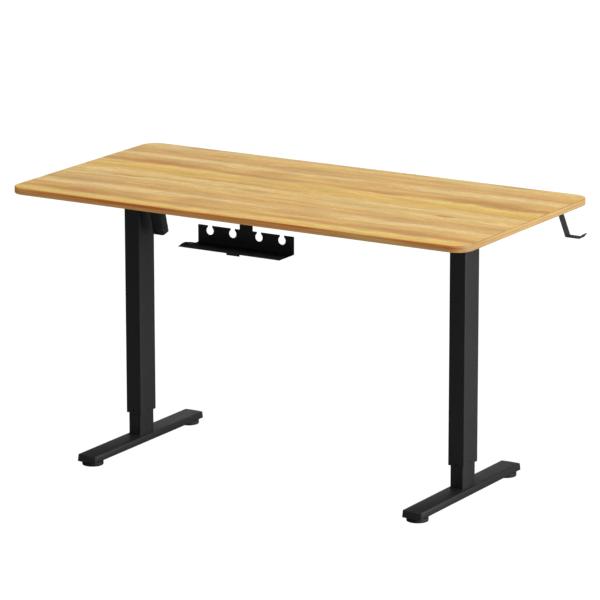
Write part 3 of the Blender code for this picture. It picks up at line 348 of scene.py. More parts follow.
def oak_print():
    """The oak print, with its grain along the first axis of the place it is given.

    Bands across the grain come from a ramp over the repeat, after slow noise has swayed the place.
    Patches fade with the distance from their middles as a share of their half sizes. Streaks are noise
    drawn out some thirty times along the grain, and a thin dark line follows a cosine down the length.
    """
    group, given, result = add_group(
        "oak_print",
        (("Place", "Vector", None), ("Depth", "Float", 1.0)),
        (("Colour", "Color"), ("Grain", "Float")),
    )
    place = given["Place"]
    parts = add_node(group, "ShaderNodeSeparateXYZ", {0: place}).outputs
    slow = maths(group, "SUBTRACT", noise(group, stretched(group, place, (3.2, 8.0, 8.0)), 1.0, 3.0), 0.5)
    quick = maths(group, "SUBTRACT", noise(group, stretched(group, place, (14.0, 40.0, 40.0)), 1.0, 4.0), 0.5)
    sway = blend(group, slow, 0.050, quick, 0.030)
    long = maths(group, "ADD", parts[0], -TOP_LEFT)
    wide = maths(group, "ADD", maths(group, "SUBTRACT", TOP_FRONT, parts[1]), sway)
    across = maths(group, "MODULO", maths(group, "ADD", wide, 50 * REPEAT_WIDE), REPEAT_WIDE)
    share = maths(group, "DIVIDE", across, REPEAT_WIDE)
    bent = add_node(group, "ShaderNodeCombineXYZ", {0: long, 1: wide}).outputs[0]

    middling = noise(group, stretched(group, bent, (2.6, 60.0, 60.0)), 1.0, 4.0, 0.6)
    fine = noise(group, stretched(group, bent, (9.0, 330.0, 330.0)), 1.0, 3.0, 0.65)
    pores = noise(group, stretched(group, bent, (28.0, 1300.0, 1300.0)), 1.0, 2.0, 0.6)
    feather = noise(group, stretched(group, bent, (22.0, 120.0, 120.0)), 1.0, 4.0, 0.7)

    past = maths(group, "SUBTRACT", long, WAVE_START)
    wave = maths(group, "COSINE", maths(group, "MULTIPLY", past, math.tau / REPEAT_LONG))
    strength = maths(group, "MULTIPLY_ADD", wave, 0.22, 0.74)
    bands = mix_colour(group, strength, (0.690, 0.430, 0.120), ramp(group, share, OAK_BANDS))
    light = remap(group, middling, 0.38, 0.62, 0.82, 1.12)
    broken_up = noise(group, stretched(group, bent, (7.5, 42.0, 42.0), (2, 9, 0)), 1.0, 4.0, 0.65)
    light = maths(group, "MULTIPLY", light, remap(group, broken_up, 0.38, 0.64, 1.07, 0.90))
    light = maths(group, "MULTIPLY", light, remap(group, fine, 0.38, 0.62, 0.90, 1.08))
    fleck = noise(group, stretched(group, bent, (95.0, 210.0, 210.0)), 1.0, 2.0, 0.6)
    light = maths(group, "MULTIPLY", light, remap(group, fleck, 0.36, 0.64, 0.93, 1.06))
    plain = add_node(group, "ShaderNodeVectorMath", {0: bands, 3: light}, operation="SCALE").outputs[0]
    warm = remap(group, blend(group, feather, 0.5, middling, 0.5), 0.48, 0.60, 0.0, 0.60)
    plain = mix_colour(group, warm, plain, (0.640, 0.345, 0.080))

    patches = 0.0
    for at_long, at_wide, half_long, half_wide, amount in OAK_PATCHES:
        first = maths(group, "DIVIDE", wrapped(group, long, at_long, REPEAT_LONG), half_long)
        second = maths(group, "DIVIDE", wrapped(group, across, at_wide, REPEAT_WIDE), half_wide)
        away = maths(group, "MULTIPLY_ADD", first, first, maths(group, "MULTIPLY", second, second))
        patches = maths(group, "ADD", patches, remap(group, away, 0.0, 1.5, amount, 0.0))
    broken = remap(group, blend(group, middling, 0.55, feather, 0.45), 0.40, 0.56, 0.35, 1.0)
    heart = maths(group, "MULTIPLY", patches, broken)
    plain = mix_colour(group, heart, plain, (0.460, 0.200, 0.045))

    line = maths(group, "SUBTRACT", across, maths(group, "MULTIPLY_ADD", wave, 0.015, 0.105))
    line = remap(group, maths(group, "ABSOLUTE", line), 0.0006, 0.0034, 0.75, 0.0)
    line = maths(group, "MULTIPLY", line, remap(group, feather, 0.36, 0.60, 0.3, 1.0))
    plain = mix_colour(group, line, plain, (0.360, 0.185, 0.065))
    pore_mask = maths(group, "MULTIPLY", remap(group, pores, 0.58, 0.70, 0.0, 0.32), given["Depth"])
    group.links.new(mix_colour(group, pore_mask, plain, (0.300, 0.150, 0.045)), result["Colour"])
    group.links.new(blend(group, fine, 0.6, pores, 0.4), result["Grain"])
    return group


OAK_PRINT = oak_print()


def surface_texture():
    """A fine moulded or sprayed texture: small grains, a coarser ripple and slow patches of tone."""
    group, given, result = add_group(
        "surface_texture",
        (("Place", "Vector", None), ("Grain", "Float", 2000.0), ("Ripple", "Float", 300.0)),
        (("Height", "Float"), ("Patch", "Float"), ("Rub", "Float")),
    )
    place = given["Place"]
    grains = noise(group, place, given["Grain"], 2.0)
    ripple = noise(group, place, given["Ripple"], 2.0)
    patch = noise(group, place, 9.0, 4.0, 0.6)
    rub = noise(group, stretched(group, place, (60.0, 60.0, 7.0)), 1.0, 4.0, 0.65)
    group.links.new(blend(group, grains, 0.55, ripple, 0.45), result["Height"])
    group.links.new(patch, result["Patch"])
    group.links.new(rub, result["Rub"])
    return group


SURFACE_TEXTURE = surface_texture()


def oak_foil():
    """Printed foil under a satin varnish, with a shallow pressed grain."""
    made, tree, shader, place = new_material("oak_foil", 0.42, specular=0.4)
    wood = add_node(tree, "ShaderNodeGroup", node_tree=OAK_PRINT)
    tree.links.new(place, wood.inputs["Place"])
    tint(tree, shader, wood.outputs["Colour"])
    smear = noise(tree, place, 5.0, 3.0)
    grain_gloss = maths(tree, "MULTIPLY_ADD", wood.outputs["Grain"], 0.16, 0.28)
    gloss = maths(tree, "MULTIPLY_ADD", smear, 0.14, grain_gloss)
    roughen(tree, shader, gloss)
    bump(tree, shader, wood.outputs["Grain"], 0.00006, 0.6)
    return made


def oak_band():
    """The rim's printed band, with streaks along it. The long sides are painted redder and brighter than the
    ends, and the ends paler and duller: painted light, standing in for the shade on the long sides and
    the light and sheen on the ends. The long sides are also paler towards the bottom, and the ends
    darker at the top.
    """
    made, tree, shader, place = new_material("oak_band", 0.45, specular=0.4)
    strip_map = add_node(tree, "ShaderNodeUVMap", uv_map="along").outputs[0]
    parts = add_node(tree, "ShaderNodeSeparateXYZ", {0: place}).outputs
    # Painted light: 0 on the ends and 1 on the long sides, blending the ends' tone into the long sides'.
    painted_side_light = remap(tree, maths(tree, "ABSOLUTE", parts[1]), *CORNER_BLEND, 0.0, 1.0)
    height = maths(tree, "SUBTRACT", parts[2], TOP_UNDERSIDE)
    layers = noise(tree, stretched(tree, strip_map, (2.2, 240.0, 1.0)), 1.0, 4.0, 0.6)
    fine = noise(tree, stretched(tree, strip_map, (14.0, 900.0, 1.0)), 1.0, 3.0)
    slow = noise(tree, stretched(tree, strip_map, (2.6, 30.0, 1.0)), 1.0, 2.0)
    dark_to_light = remap(tree, layers, 0.40, 0.60, 0.0, 1.0)
    side_print_and_light = mix_colour(tree, dark_to_light, (0.560, 0.180, 0.038), (0.900, 0.370, 0.095))
    side_print_and_light = mix_colour(tree, remap(tree, height, 0.0035, 0.0075, 0.65, 0.0), side_print_and_light, (0.900, 0.540, 0.170))
    side_print_and_light = mix_colour(tree, remap(tree, slow, 0.50, 0.66, 0.0, 0.60), side_print_and_light, (0.860, 0.540, 0.170))
    dark_to_light = remap(tree, layers, 0.42, 0.60, 0.0, 1.0)
    pale = mix_colour(tree, dark_to_light, (0.400, 0.240, 0.085), (0.520, 0.335, 0.130))
    pale = mix_colour(tree, remap(tree, height, 0.0160, 0.0172, 0.0, 0.45), pale, (0.300, 0.150, 0.045))
    # The ends' pale tone and the long sides' redder tone carry print streaks and painted light.
    tone = mix_colour(tree, painted_side_light, pale, side_print_and_light)
    light = remap(tree, fine, 0.35, 0.65, 0.90, 1.07)
    tone = add_node(tree, "ShaderNodeVectorMath", {0: tone, 3: light}, operation="SCALE").outputs[0]
    tint(tree, shader, tone)
    roughen(tree, shader, remap(tree, fine, 0.3, 0.7, 0.38, 0.54))
    bump(tree, shader, fine, 0.00003, 0.5)
    return made


def backing_foil():
    """Plain warm grey balancing paper, with faint fibres."""
    made, tree, shader, place = new_material("backing_foil", 0.62, specular=0.35)
    fibres = noise(tree, stretched(tree, place, (40.0, 260.0, 40.0)), 1.0, 4.0)
    cloud = noise(tree, place, 6.0, 4.0)
    tone = blend(tree, fibres, 0.5, cloud, 0.5)
    tint(tree, shader, ramp(tree, tone, ((0.3, (0.250, 0.180, 0.110)), (0.7, (0.330, 0.245, 0.155)))))
    roughen(tree, shader, remap(tree, fibres, 0.3, 0.7, 0.52, 0.72))
    bump(tree, shader, fibres, 0.00005, 0.5)
    return made


OAK_FOIL = oak_foil()
OAK_BAND = oak_band()
BACKING_FOIL = backing_foil()


def rounded_path(width, depth, radius, steps=8):
    """A rounded rectangle about the origin as points and outward directions, anticlockwise.

    Each corner is an arc of that radius about a centre that lies one radius in from both sides.
    """
    turns = np.linspace(0, np.pi / 2, steps + 1)
    angles = (np.arange(4)[:, None] * np.pi / 2 + turns).ravel()
    outward = np.stack([np.cos(angles), np.sin(angles)], 1)
    signs = np.repeat(np.array([(1, 1), (-1, 1), (-1, -1), (1, -1)]), steps + 1, axis=0)
    centres = signs * np.array([width / 2 - radius, depth / 2 - radius])
    return centres + radius * outward, outward


def grid_piece(name, points, finish, body, round_u=True, round_v=False, rows=None, smooth=40.0):
    """A closed surface from a grid of points, first index along u and second along v.

    Neighbouring points make four-sided faces, rows that meet in one place are merged, and the map
    called along holds the length run in each direction. rows gives each face row's material.
    """
    count_u, count_v = points.shape[:2]
    cells_u = count_u if round_u else count_u - 1
    cells_v = count_v if round_v else count_v - 1
    i, j = np.meshgrid(np.arange(cells_u), np.arange(cells_v), indexing="ij")
    i, j = i.ravel(), j.ravel()
    corner = lambda a, b: (a % count_u) * count_v + b % count_v
    faces = np.stack([corner(i, j), corner(i + 1, j), corner(i + 1, j + 1), corner(i, j + 1)], 1)
    mesh = bpy.data.meshes.new(name)
    mesh.from_pydata(points.reshape(-1, 3).tolist(), [], faces.tolist())
    wrap_u = np.concatenate([points, points[:1]]) if round_u else points
    run_u = np.concatenate([[0], np.cumsum(np.linalg.norm(np.diff(wrap_u[:, count_v // 2], axis=0), axis=1))])
    wrap_v = np.concatenate([points[0], points[0][:1]]) if round_v else points[0]
    run_v = np.concatenate([[0], np.cumsum(np.linalg.norm(np.diff(wrap_v, axis=0), axis=1))])
    u = np.stack([run_u[i], run_u[i + 1], run_u[i + 1], run_u[i]], 1)
    v = np.stack([run_v[j], run_v[j], run_v[j + 1], run_v[j + 1]], 1)
    mesh.uv_layers.new(name="along").data.foreach_set("uv", np.stack([u, v], 2).astype(np.float32).ravel())
    finishes = finish if isinstance(finish, (list, tuple)) else [finish]
    for material in finishes:
        mesh.materials.append(material)
    if rows is not None:
        mesh.polygons.foreach_set("material_index", np.asarray(rows)[j].astype(np.int32))
    work = bmesh.new()
    work.from_mesh(mesh)
    bmesh.ops.remove_doubles(work, verts=work.verts, dist=1e-6)
    bmesh.ops.recalc_face_normals(work, faces=work.faces)
    work.to_mesh(mesh)
    work.free()
    mesh.shade_smooth()
    mesh.set_sharp_from_angle(angle=math.radians(smooth))
    made = bpy.data.objects.new(name, mesh)
    scene.collection.objects.link(made)
    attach(made, body)
    return made


def carried(path, outward, profile, middle):
    """A profile of (inset, height) pairs carried round a level path: each point goes inward by its inset."""
    inset, height = profile[:, 0], profile[:, 1]
    level = path[:, None, :] - outward[:, None, :] * inset[None, :, None]
    high = np.broadcast_to(height[None, :, None], level.shape[:2] + (1,))
    return np.concatenate([level, high], 2) + np.array([middle[0], middle[1], 0.0])


def build_tabletop():
    """Board: rows from the underside's middle out to the rim, up, and back to the face's middle.

    Band: a closed profile with two quarter-round edges, carried round the same path.
    """
    length, depth = top_high.x - top_low.x, top_high.y - top_low.y
    low, high = top_low.z, top_high.z
    path, outward = rounded_path(length, depth, TOP_CORNER, CORNER_STEPS)
    inset = BAND + BAND_JOINT
    rim = path - outward * inset
    spread = np.array([0.0, 0.35, 0.7, 1.0])
    under = np.concatenate([rim[:, None, :] * spread[None, :, None], np.full((len(rim), 4, 1), low)], 2)
    face = np.concatenate([rim[:, None, :] * spread[None, ::-1, None], np.full((len(rim), 4, 1), high)], 2)
    face[:, 0, :2] = (path - outward * (inset + 0.0002))
    lip = np.concatenate([rim[:, None, :], np.full((len(rim), 1, 1), high - 0.0002)], 2)
    middle = np.array([top_middle.x, top_middle.y, 0.0])
    board = grid_piece(
        "tabletop_board",
        np.concatenate([under, lip, face], 1) + middle,
        [OAK_FOIL, BACKING_FOIL],
        "frame",
        rows=[1, 1, 1, 1, 0, 0, 0, 0],
        smooth=20.0,
    )
    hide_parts("tabletop")
    turn = np.linspace(0, np.pi / 2, ROUND_STEPS + 1)
    arc_in, arc_out = BAND * (1 - np.sin(turn)), BAND * (1 - np.cos(turn))
    lower = np.stack([arc_in, low + arc_out], 1)
    upper = np.stack([arc_in[::-1], high - arc_out[::-1]], 1)
    profile = np.concatenate([lower, upper])
    rim = carried(path, outward, profile, top_middle)
    grid_piece("edge_band", rim, OAK_BAND, "frame", round_v=True)


build_tabletop()


# ---- Coated steelwork -----------------------------------------------------------------
# Feet, columns, brackets, crossbeams, tray, hanger and hook are cut and bent or drawn steel, welded
# or screwed together and sprayed with a fine black powder coat. The eased edges take a paler,
# glossier coat: partly the coat thinning there, partly a painted highlight. The feet's slanted edge
# faces take a darker coat that is painted shade along those edges.


def powder_coat(name, colour, roughness, rubbed=0.0):
    """Black powder coat: fine grain, faint patches, and paler lengthwise rubbing where it slides."""
    made, tree, shader, place = new_material(name, roughness, specular=0.5)
    skin = add_node(tree, "ShaderNodeGroup", {"Grain": 2600.0, "Ripple": 420.0}, node_tree=SURFACE_TEXTURE)
    tree.links.new(place, skin.inputs["Place"])
    patch = remap(tree, skin.outputs["Patch"], 0.35, 0.65, 0.86, 1.16)
    tone = add_node(tree, "ShaderNodeVectorMath", {0: (*colour,), 3: patch}, operation="SCALE").outputs[0]
    worn = remap(tree, skin.outputs["Rub"], 0.52, 0.72, 0.0, rubbed)
    tint(tree, shader, mix_colour(tree, worn, tone, tuple(4.0 * c for c in colour)))
    roughen(tree, shader, remap(tree, skin.outputs["Height"], 0.35, 0.65, roughness - 0.06, roughness + 0.07))
    bump(tree, shader, skin.outputs["Height"], 0.00003, 0.5)
    return made


BLACK_COAT = powder_coat("black_coat", (0.0078, 0.0078, 0.0080), 0.50)
# The eased edges' coat is paler and glossier: partly the thinner coat there, partly a painted highlight.
THIN_COAT_AND_HIGHLIGHT = powder_coat("thin_coat_and_highlight", (0.0150, 0.0150, 0.0152), 0.42, 0.25)
# A darker coat for the feet's slanted edge faces: painted shade along those edges.
FOOT_EDGE_SHADE = powder_coat("foot_edge_painted_shade", (0.0036, 0.0036, 0.0037), 0.62)
SLIDING_COAT = powder_coat("sliding_coat", (0.0078, 0.0078, 0.0080), 0.48, 0.45)


def eased_copy(node, name, finish, edge_finish, width, steps=2, dissolve=1.0, painted_shade=None):
    """A copy of a CAD piece with its coplanar triangles joined and its sharp edges rounded over.

    Faces that lean between two axes are its rounded edges, and take the shade finish where there is one:
    a darker coat that is painted shade along those edges.
    """
    mesh = bpy.data.meshes.new(name)
    work = bmesh.new()
    work.from_mesh(nodes[node].data)
    bmesh.ops.remove_doubles(work, verts=work.verts, dist=2e-6)
    if dissolve:
        bmesh.ops.dissolve_limit(
            work, angle_limit=math.radians(dissolve), verts=work.verts, edges=work.edges
        )
    work.normal_update()
    for face in work.faces:
        slant = sorted(abs(c) for c in face.normal)
        face.material_index = 2 if painted_shade and 0.2 < slant[1] and slant[2] < 0.97 else 0
        face.smooth = True
    work.to_mesh(mesh)
    work.free()
    mesh.materials.append(finish)
    mesh.materials.append(edge_finish)
    if painted_shade:
        mesh.materials.append(painted_shade)
    mesh.set_sharp_from_angle(angle=math.radians(40))
    made = bpy.data.objects.new(name, mesh)
    scene.collection.objects.link(made)
    if width:
        ease = made.modifiers.new("ease", "BEVEL")
        ease.width = width
        ease.segments = steps
        ease.limit_method = "ANGLE"
        ease.angle_limit = math.radians(40)
        ease.harden_normals = True
        ease.material = 1
        ease.use_clamp_overlap = True
    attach(made, nodes[node]["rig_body"])
    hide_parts(node)
    return made


EASED_STEEL = {
    "foot_beam": 0.0008,
    "inner_column": 0.0003,
    "outer_column": 0.0003,
    "side_bracket": 0.0006,
}
for side in ("left", "right"):
    for part, width in EASED_STEEL.items():
        coat = SLIDING_COAT if part == "inner_column" else BLACK_COAT
        # The feet's slanted edge faces take the darker coat that is painted shade.
        painted_shade = FOOT_EDGE_SHADE if part == "foot_beam" else None
        name = f"{side}_{part}"
        eased_copy(name, name + "_coated", coat, THIN_COAT_AND_HIGHLIGHT, width, painted_shade=painted_shade)
for part, width in (
    ("rear_crossbeam", 0.0006),
    ("front_crossbeam", 0.0006),
    ("cable_tray", 0.0004),
    ("tray_hanger", 0.0005),
    ("headphone_hook", 0.0005),
):
    eased_copy(part, part + "_coated", BLACK_COAT, THIN_COAT_AND_HIGHLIGHT, width)


# ---- Weld beads -----------------------------------------------------------------------
# Each inner column is welded all round to its foot, and each crossbeam to its side brackets. The
# beads are low and rippled, and a darker, rougher coat runs over them: painted shade for the contact
# shadow where a column meets its foot.

BEAD_RADIUS = 0.0015
BEAD_PITCH = 0.0024
# The beads' coat is darker and rougher than the frame's: painted shade, standing in for the contact shadow at
# each column's foot.
WELD_SHADE_COAT = powder_coat("weld_painted_shade", (0.0030, 0.0030, 0.0031), 0.70)


def bead_round(name, path, outward, centre, lift, body, axis="Z"):
    """A bead round a closed path: a circle whose radius swells once each pitch along the path."""
    fine_steps = 5
    closed = np.concatenate([path, path[:1]])
    run = np.concatenate([[0], np.cumsum(np.linalg.norm(np.diff(closed, axis=0), axis=1))])
    count = int(run[-1] / BEAD_PITCH) * fine_steps
    at = np.linspace(0, run[-1], count, endpoint=False)
    line = np.stack([np.interp(at, run, closed[:, k]) for k in (0, 1)], 1)
    facing = np.concatenate([outward, outward[:1]])
    side_way = np.stack([np.interp(at, run, facing[:, k]) for k in (0, 1)], 1)
    side_way /= np.linalg.norm(side_way, axis=1, keepdims=True)
    radius = BEAD_RADIUS * (1 + 0.13 * np.abs(np.sin(np.pi * at / BEAD_PITCH)) + 0.04 * np.sin(at * 210.0))
    turn = np.linspace(0, 2 * np.pi, 8, endpoint=False)
    across = radius[:, None] * np.cos(turn)
    high = radius[:, None] * np.sin(turn)
    level = line[:, None, :] + side_way[:, None, :] * across[:, :, None]
    if axis == "Z":
        points = np.concatenate([level, high[:, :, None]], 2)
    else:
        points = np.concatenate([high[:, :, None], level], 2)
    points = points + np.array(centre) + np.array(lift)
    return grid_piece(name, points, WELD_SHADE_COAT, body, round_v=True, smooth=180.0)


for side in ("left", "right"):
    column_low, column_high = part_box(f"{side}_inner_column")
    foot_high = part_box(f"{side}_foot_beam")[1].z
    middle = (column_low + column_high) / 2
    path, outward = rounded_path(column_high.x - column_low.x, column_high.y - column_low.y, 0.003, 6)
    bead_round(
        f"{side}_foot_weld", path, outward, (middle.x, middle.y, foot_high), (0, 0, 0.0003), f"{side}_base"
    )
for end in ("rear", "front"):
    beam_low, beam_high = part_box(f"{end}_crossbeam")
    middle = (beam_low + beam_high) / 2
    path, outward = rounded_path(beam_high.y - beam_low.y, beam_high.z - beam_low.z, 0.003, 5)
    for side, x in (("left", beam_low.x), ("right", beam_high.x)):
        inward = 0.0004 if side == "left" else -0.0004
        name = f"{end}_crossbeam_{side}_weld"
        bead_round(name, path, outward, (x, middle.y, middle.z), (inward, 0, 0), "frame", "X")


# ---- Levelling pads -------------------------------------------------------------------
# Each foot stands on two moulded rubber-faced pads on threaded studs. The rim is fluted for the
# fingers, and the top is dished slightly round the stud.

PAD_FLUTES = 36
PAD_FLUTE_DEPTH = 0.0005


def moulded_rubber(name, colour, roughness):
    """Matt black rubber with a fine skin and dusty patches."""
    made, tree, shader, place = new_material(name, roughness, specular=0.35)
    skin = add_node(tree, "ShaderNodeGroup", {"Grain": 1800.0, "Ripple": 260.0}, node_tree=SURFACE_TEXTURE)
    tree.links.new(place, skin.inputs["Place"])
    dusty = remap(tree, skin.outputs["Patch"], 0.42, 0.70, 0.0, 0.30)
    tint(tree, shader, mix_colour(tree, dusty, colour, tuple(2.6 * c for c in colour)))
    roughen(tree, shader, remap(tree, skin.outputs["Height"], 0.3, 0.7, roughness - 0.08, roughness + 0.08))
    bump(tree, shader, skin.outputs["Height"], 0.00008, 0.6)
    return made


RUBBER = moulded_rubber("pad_rubber", (0.0135, 0.0135, 0.0135), 0.66)
LEAD_SHEATH = moulded_rubber("lead_sheath", (0.0120, 0.0120, 0.0120), 0.48)


def zinc_steel(name, colour, roughness, along=(30.0, 30.0, 900.0)):
    """Zinc plated or turned steel: fine tool marks across one axis and cloudy plating."""
    made, tree, shader, place = new_material(name, roughness, 1.0)
    marks = noise(tree, stretched(tree, place, along), 1.0, 3.0)
    cloud = noise(tree, place, 130.0, 3.0)
    shade = remap(tree, blend(tree, marks, 0.4, cloud, 0.6), 0.35, 0.65, 0.78, 1.12)
    tone = add_node(tree, "ShaderNodeVectorMath", {0: (*colour,), 3: shade}, operation="SCALE").outputs[0]
    tint(tree, shader, tone)
    roughen(tree, shader, remap(tree, marks, 0.3, 0.7, roughness - 0.08, roughness + 0.10))
    bump(tree, shader, marks, 0.00003, 0.5)
    return made


ZINC = zinc_steel("zinc_steel", (0.56, 0.56, 0.57), 0.34)
BRONZE = zinc_steel("machined_bronze", (0.52, 0.33, 0.14), 0.36)
CAST_METAL = zinc_steel("cast_housing", (0.30, 0.30, 0.31), 0.52, (700.0, 700.0, 700.0))
BLACK_OXIDE = zinc_steel("black_oxide", (0.030, 0.030, 0.032), 0.42)
DEEP_BLACK = moulded_rubber("deep_black", (0.0008, 0.0008, 0.0008), 0.85)


def revolved(radius, height, middle, around, swell=None):
    """A profile of radii and heights turned about an upright axis; swell(angle, row) adds to the radius."""
    turn = np.linspace(0, 2 * np.pi, around, endpoint=False)
    reach = np.broadcast_to(radius[None, :], (around, len(radius))).copy()
    if swell is not None:
        reach = reach + swell(turn[:, None], np.arange(len(radius))[None, :])
    x = middle[0] + reach * np.cos(turn)[:, None]
    y = middle[1] + reach * np.sin(turn)[:, None]
    z = np.broadcast_to(height[None, :] + middle[2], x.shape)
    return np.stack([x, y, z], 2)


def build_pad(node):
    """Pad and stud as one turned shape, sole to tip; a cosine of the angle flutes the rim rows."""
    low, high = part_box(node)
    middle = (low + high) / 2
    reach = (high.x - low.x) / 2
    stud = 0.0039
    radius = np.array(
        [0, 0.60, 0.86, 0.93, 0.975, 1.0, 1.0, 1.0, 1.0, 0.985, 0.94, 0.84, 0.60, 0.32, 0.24]
    ) * reach
    radius = np.concatenate([radius, [stud, stud, stud * 0.75, 0]])
    height = np.array(
        [0.0006, 0.0006, 0.0003, 0.0, 0.0003, 0.0011, 0.0035, 0.0060]
        + [0.0085, 0.0101, 0.0107, 0.0108, 0.0104, 0.0104, 0.0112]
    )
    tip = high.z - low.z
    height = np.concatenate([height, [0.0114, tip - 0.0012, tip, tip]])
    fluted = np.zeros(len(radius))
    fluted[5:9] = PAD_FLUTE_DEPTH
    swell = lambda angle, row: -fluted[row] * (0.5 + 0.5 * np.cos(PAD_FLUTES * angle)) ** 2
    rows = [0] * 14 + [1] * 4
    pad = grid_piece(
        node + "_moulded",
        revolved(radius, height, (middle.x, middle.y, low.z), PAD_FLUTES * 4, swell),
        [RUBBER, ZINC],
        nodes[node]["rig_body"],
        rows=rows,
        smooth=35.0,
    )
    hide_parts(node)


for side in ("left", "right"):
    for end in ("rear", "front"):
        build_pad(f"{side}_{end}_pad")


# ---- Screws ---------------------------------------------------------------------------
# Pan-head wood screws with a cross recess hold the brackets, hanger and hook up to the top. Short
# black socket screws set the glides at the foot of each outer column.

THREAD_PITCH = 0.0022


def cross_recess(x, y, reach):
    """Depth from 0 to 1 of a cross: deep where a point is near one axis and within its reach along it."""
    near = np.minimum(np.abs(x), np.abs(y)) / reach
    far = np.maximum(np.abs(x), np.abs(y)) / reach
    return np.clip((0.17 - near) / 0.05, 0, 1) * np.clip((0.62 - far) / 0.12, 0, 1)


def socket_recess(x, y, reach):
    """Depth from 0 to 1 of a hexagonal socket: the largest of three slanted widths, held inside its flats."""
    flats = [np.abs(x * math.cos(a) + y * math.sin(a)) for a in (0, math.pi / 3, 2 * math.pi / 3)]
    return np.clip((0.52 - np.maximum.reduce(flats) / reach) / 0.05, 0, 1)


def screw_points(reach, head, shank, length, recess, depth, pitch):
    """A screw with its head at height 0 and its tip up: rings from the head's middle over its rim and up the
    shank, whose radius rises and falls once a pitch along a helix and shrinks to the tip.
    """
    around = 48
    turn = np.linspace(0, 2 * np.pi, around, endpoint=False)[:, None]
    inner = np.linspace(0, 1, 17)[None, :]
    dome = head * 0.30 * inner**3
    x, y = inner * reach * 0.93 * np.cos(turn), inner * reach * 0.93 * np.sin(turn)
    top = dome + depth * recess(x, y, reach)
    cap = np.stack([x, y, top], 2)
    rim_r = np.array([0.985, 1.0, 1.0, 0.97]) * reach
    rim_h = np.array([0.45, 0.60, 0.92, 1.0]) * head
    rim = revolved(rim_r, rim_h, (0, 0, 0), around)
    rise = np.linspace(0, 1, max(8, int(length / 0.00022)))[None, :]
    along = head + rise * length
    taper = np.clip((1 - rise) / 0.22, 0, 1) ** 0.7
    thread = 0.16 * shank * np.abs(np.sin(np.pi * along / pitch - turn / 2))
    radius = (shank * 0.84 + thread) * taper
    stem = np.stack([radius * np.cos(turn), radius * np.sin(turn), np.broadcast_to(along, radius.shape)], 2)
    return np.concatenate([cap, rim, stem], 1)


def build_screw(node, facing, finish, recess, depth, turned):
    """A screw in its CAD piece's box, head first against the facing direction."""
    low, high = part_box(node)
    size, middle = high - low, (low + high) / 2
    out = Vector(facing)
    across = [k for k in range(3) if abs(out[k]) < 0.5]
    reach = size[across[0]] / 2
    whole = max(abs(size[k] * out[k]) for k in range(3))
    head = min(0.0024, whole * 0.8)
    shank = 0.0019 if whole > 0.006 else reach * 0.9
    points = screw_points(reach * 0.998, head, shank, whole - head, recess, depth, THREAD_PITCH)
    turn = Vector((0, 0, -1)).rotation_difference(out).to_matrix() @ Matrix.Rotation(turned, 3, "Z")
    start = middle + out * whole / 2
    placed = points @ np.array(turn.transposed()) + np.array(start)
    screw = grid_piece(node + "_turned", placed, finish, nodes[node]["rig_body"], smooth=35.0)
    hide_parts(node)


WOOD_SCREWS = [f"{s}_{e}_top_screw" for s in ("left", "right") for e in ("rear", "front")]
WOOD_SCREWS += ["hanger_screw_left", "hanger_screw_right", "hook_screw_inner", "hook_screw_outer"]
for number, name in enumerate(WOOD_SCREWS):
    build_screw(name, (0, 0, -1), ZINC, cross_recess, 0.0012, 0.7 * number)
for side in ("left", "right"):
    name = f"{side}_rear_glide_screw"
    build_screw(name, (0, -1, 0), DEEP_BLACK, socket_recess, 0.0014, 0.3)
    build_screw(f"{side}_side_glide_screw", (1, 0, 0), DEEP_BLACK, socket_recess, 0.0014, 0.9)


# ---- Drive ----------------------------------------------------------------------------
# The motor drives a hexagonal shaft through a worm, and a pair of bevel gears at each column's head
# turns the lifting screw. Steel, bronze and die-cast metal; most of it is out of sight.


def moulded_plastic(name, colour, roughness, grain=1500.0):
    """Moulded plastic with a fine eroded texture from its mould."""
    made, tree, shader, place = new_material(name, roughness, specular=0.45)
    skin = add_node(tree, "ShaderNodeGroup", {"Grain": grain, "Ripple": 200.0}, node_tree=SURFACE_TEXTURE)
    tree.links.new(place, skin.inputs["Place"])
    patch = remap(tree, skin.outputs["Patch"], 0.35, 0.65, 0.90, 1.12)
    tone = add_node(tree, "ShaderNodeVectorMath", {0: (*colour,), 3: patch}, operation="SCALE").outputs[0]
    tint(tree, shader, tone)
    roughen(tree, shader, remap(tree, skin.outputs["Height"], 0.35, 0.65, roughness - 0.07, roughness + 0.07))
    bump(tree, shader, skin.outputs["Height"], 0.00004, 0.6)
    return made


BLACK_PLASTIC = moulded_plastic("black_plastic", (0.0140, 0.0140, 0.0150), 0.50)
PLASTIC_EDGE = moulded_plastic("plastic_edge", (0.0190, 0.0190, 0.0200), 0.40)
GREY_PLASTIC = moulded_plastic("grey_plastic", (0.120, 0.120, 0.125), 0.44)
WHITE_ACETAL = moulded_plastic("white_acetal", (0.72, 0.72, 0.69), 0.42)


def refinish(node, finish):
    """Gives a CAD piece that keeps its shape a better finish."""
    for place in nodes[node].material_slots:
        place.material = finish


for side in ("left", "right"):
    for part, finish in (
        ("lead_screw", ZINC),
        ("screw_gear", ZINC),
        ("shaft_pinion", ZINC),
        ("drive_nut", BRONZE),
        ("lower_glide", WHITE_ACETAL),
        ("upper_glide", WHITE_ACETAL),
    ):
        refinish(f"{side}_{part}", finish)
    name = f"{side}_gear_housing"
    eased_copy(name, name + "_cast", CAST_METAL, CAST_METAL, 0.0008)
refinish("worm_wheel", BRONZE)
refinish("motor_rotor", ZINC)
refinish("drive_shaft", ZINC)
eased_copy("motor_gearbox", "motor_gearbox_coated", BLACK_COAT, THIN_COAT_AND_HIGHLIGHT, 0.0010)
eased_copy("motor_housing", "motor_housing_moulded", BLACK_PLASTIC, PLASTIC_EDGE, 0.0008)


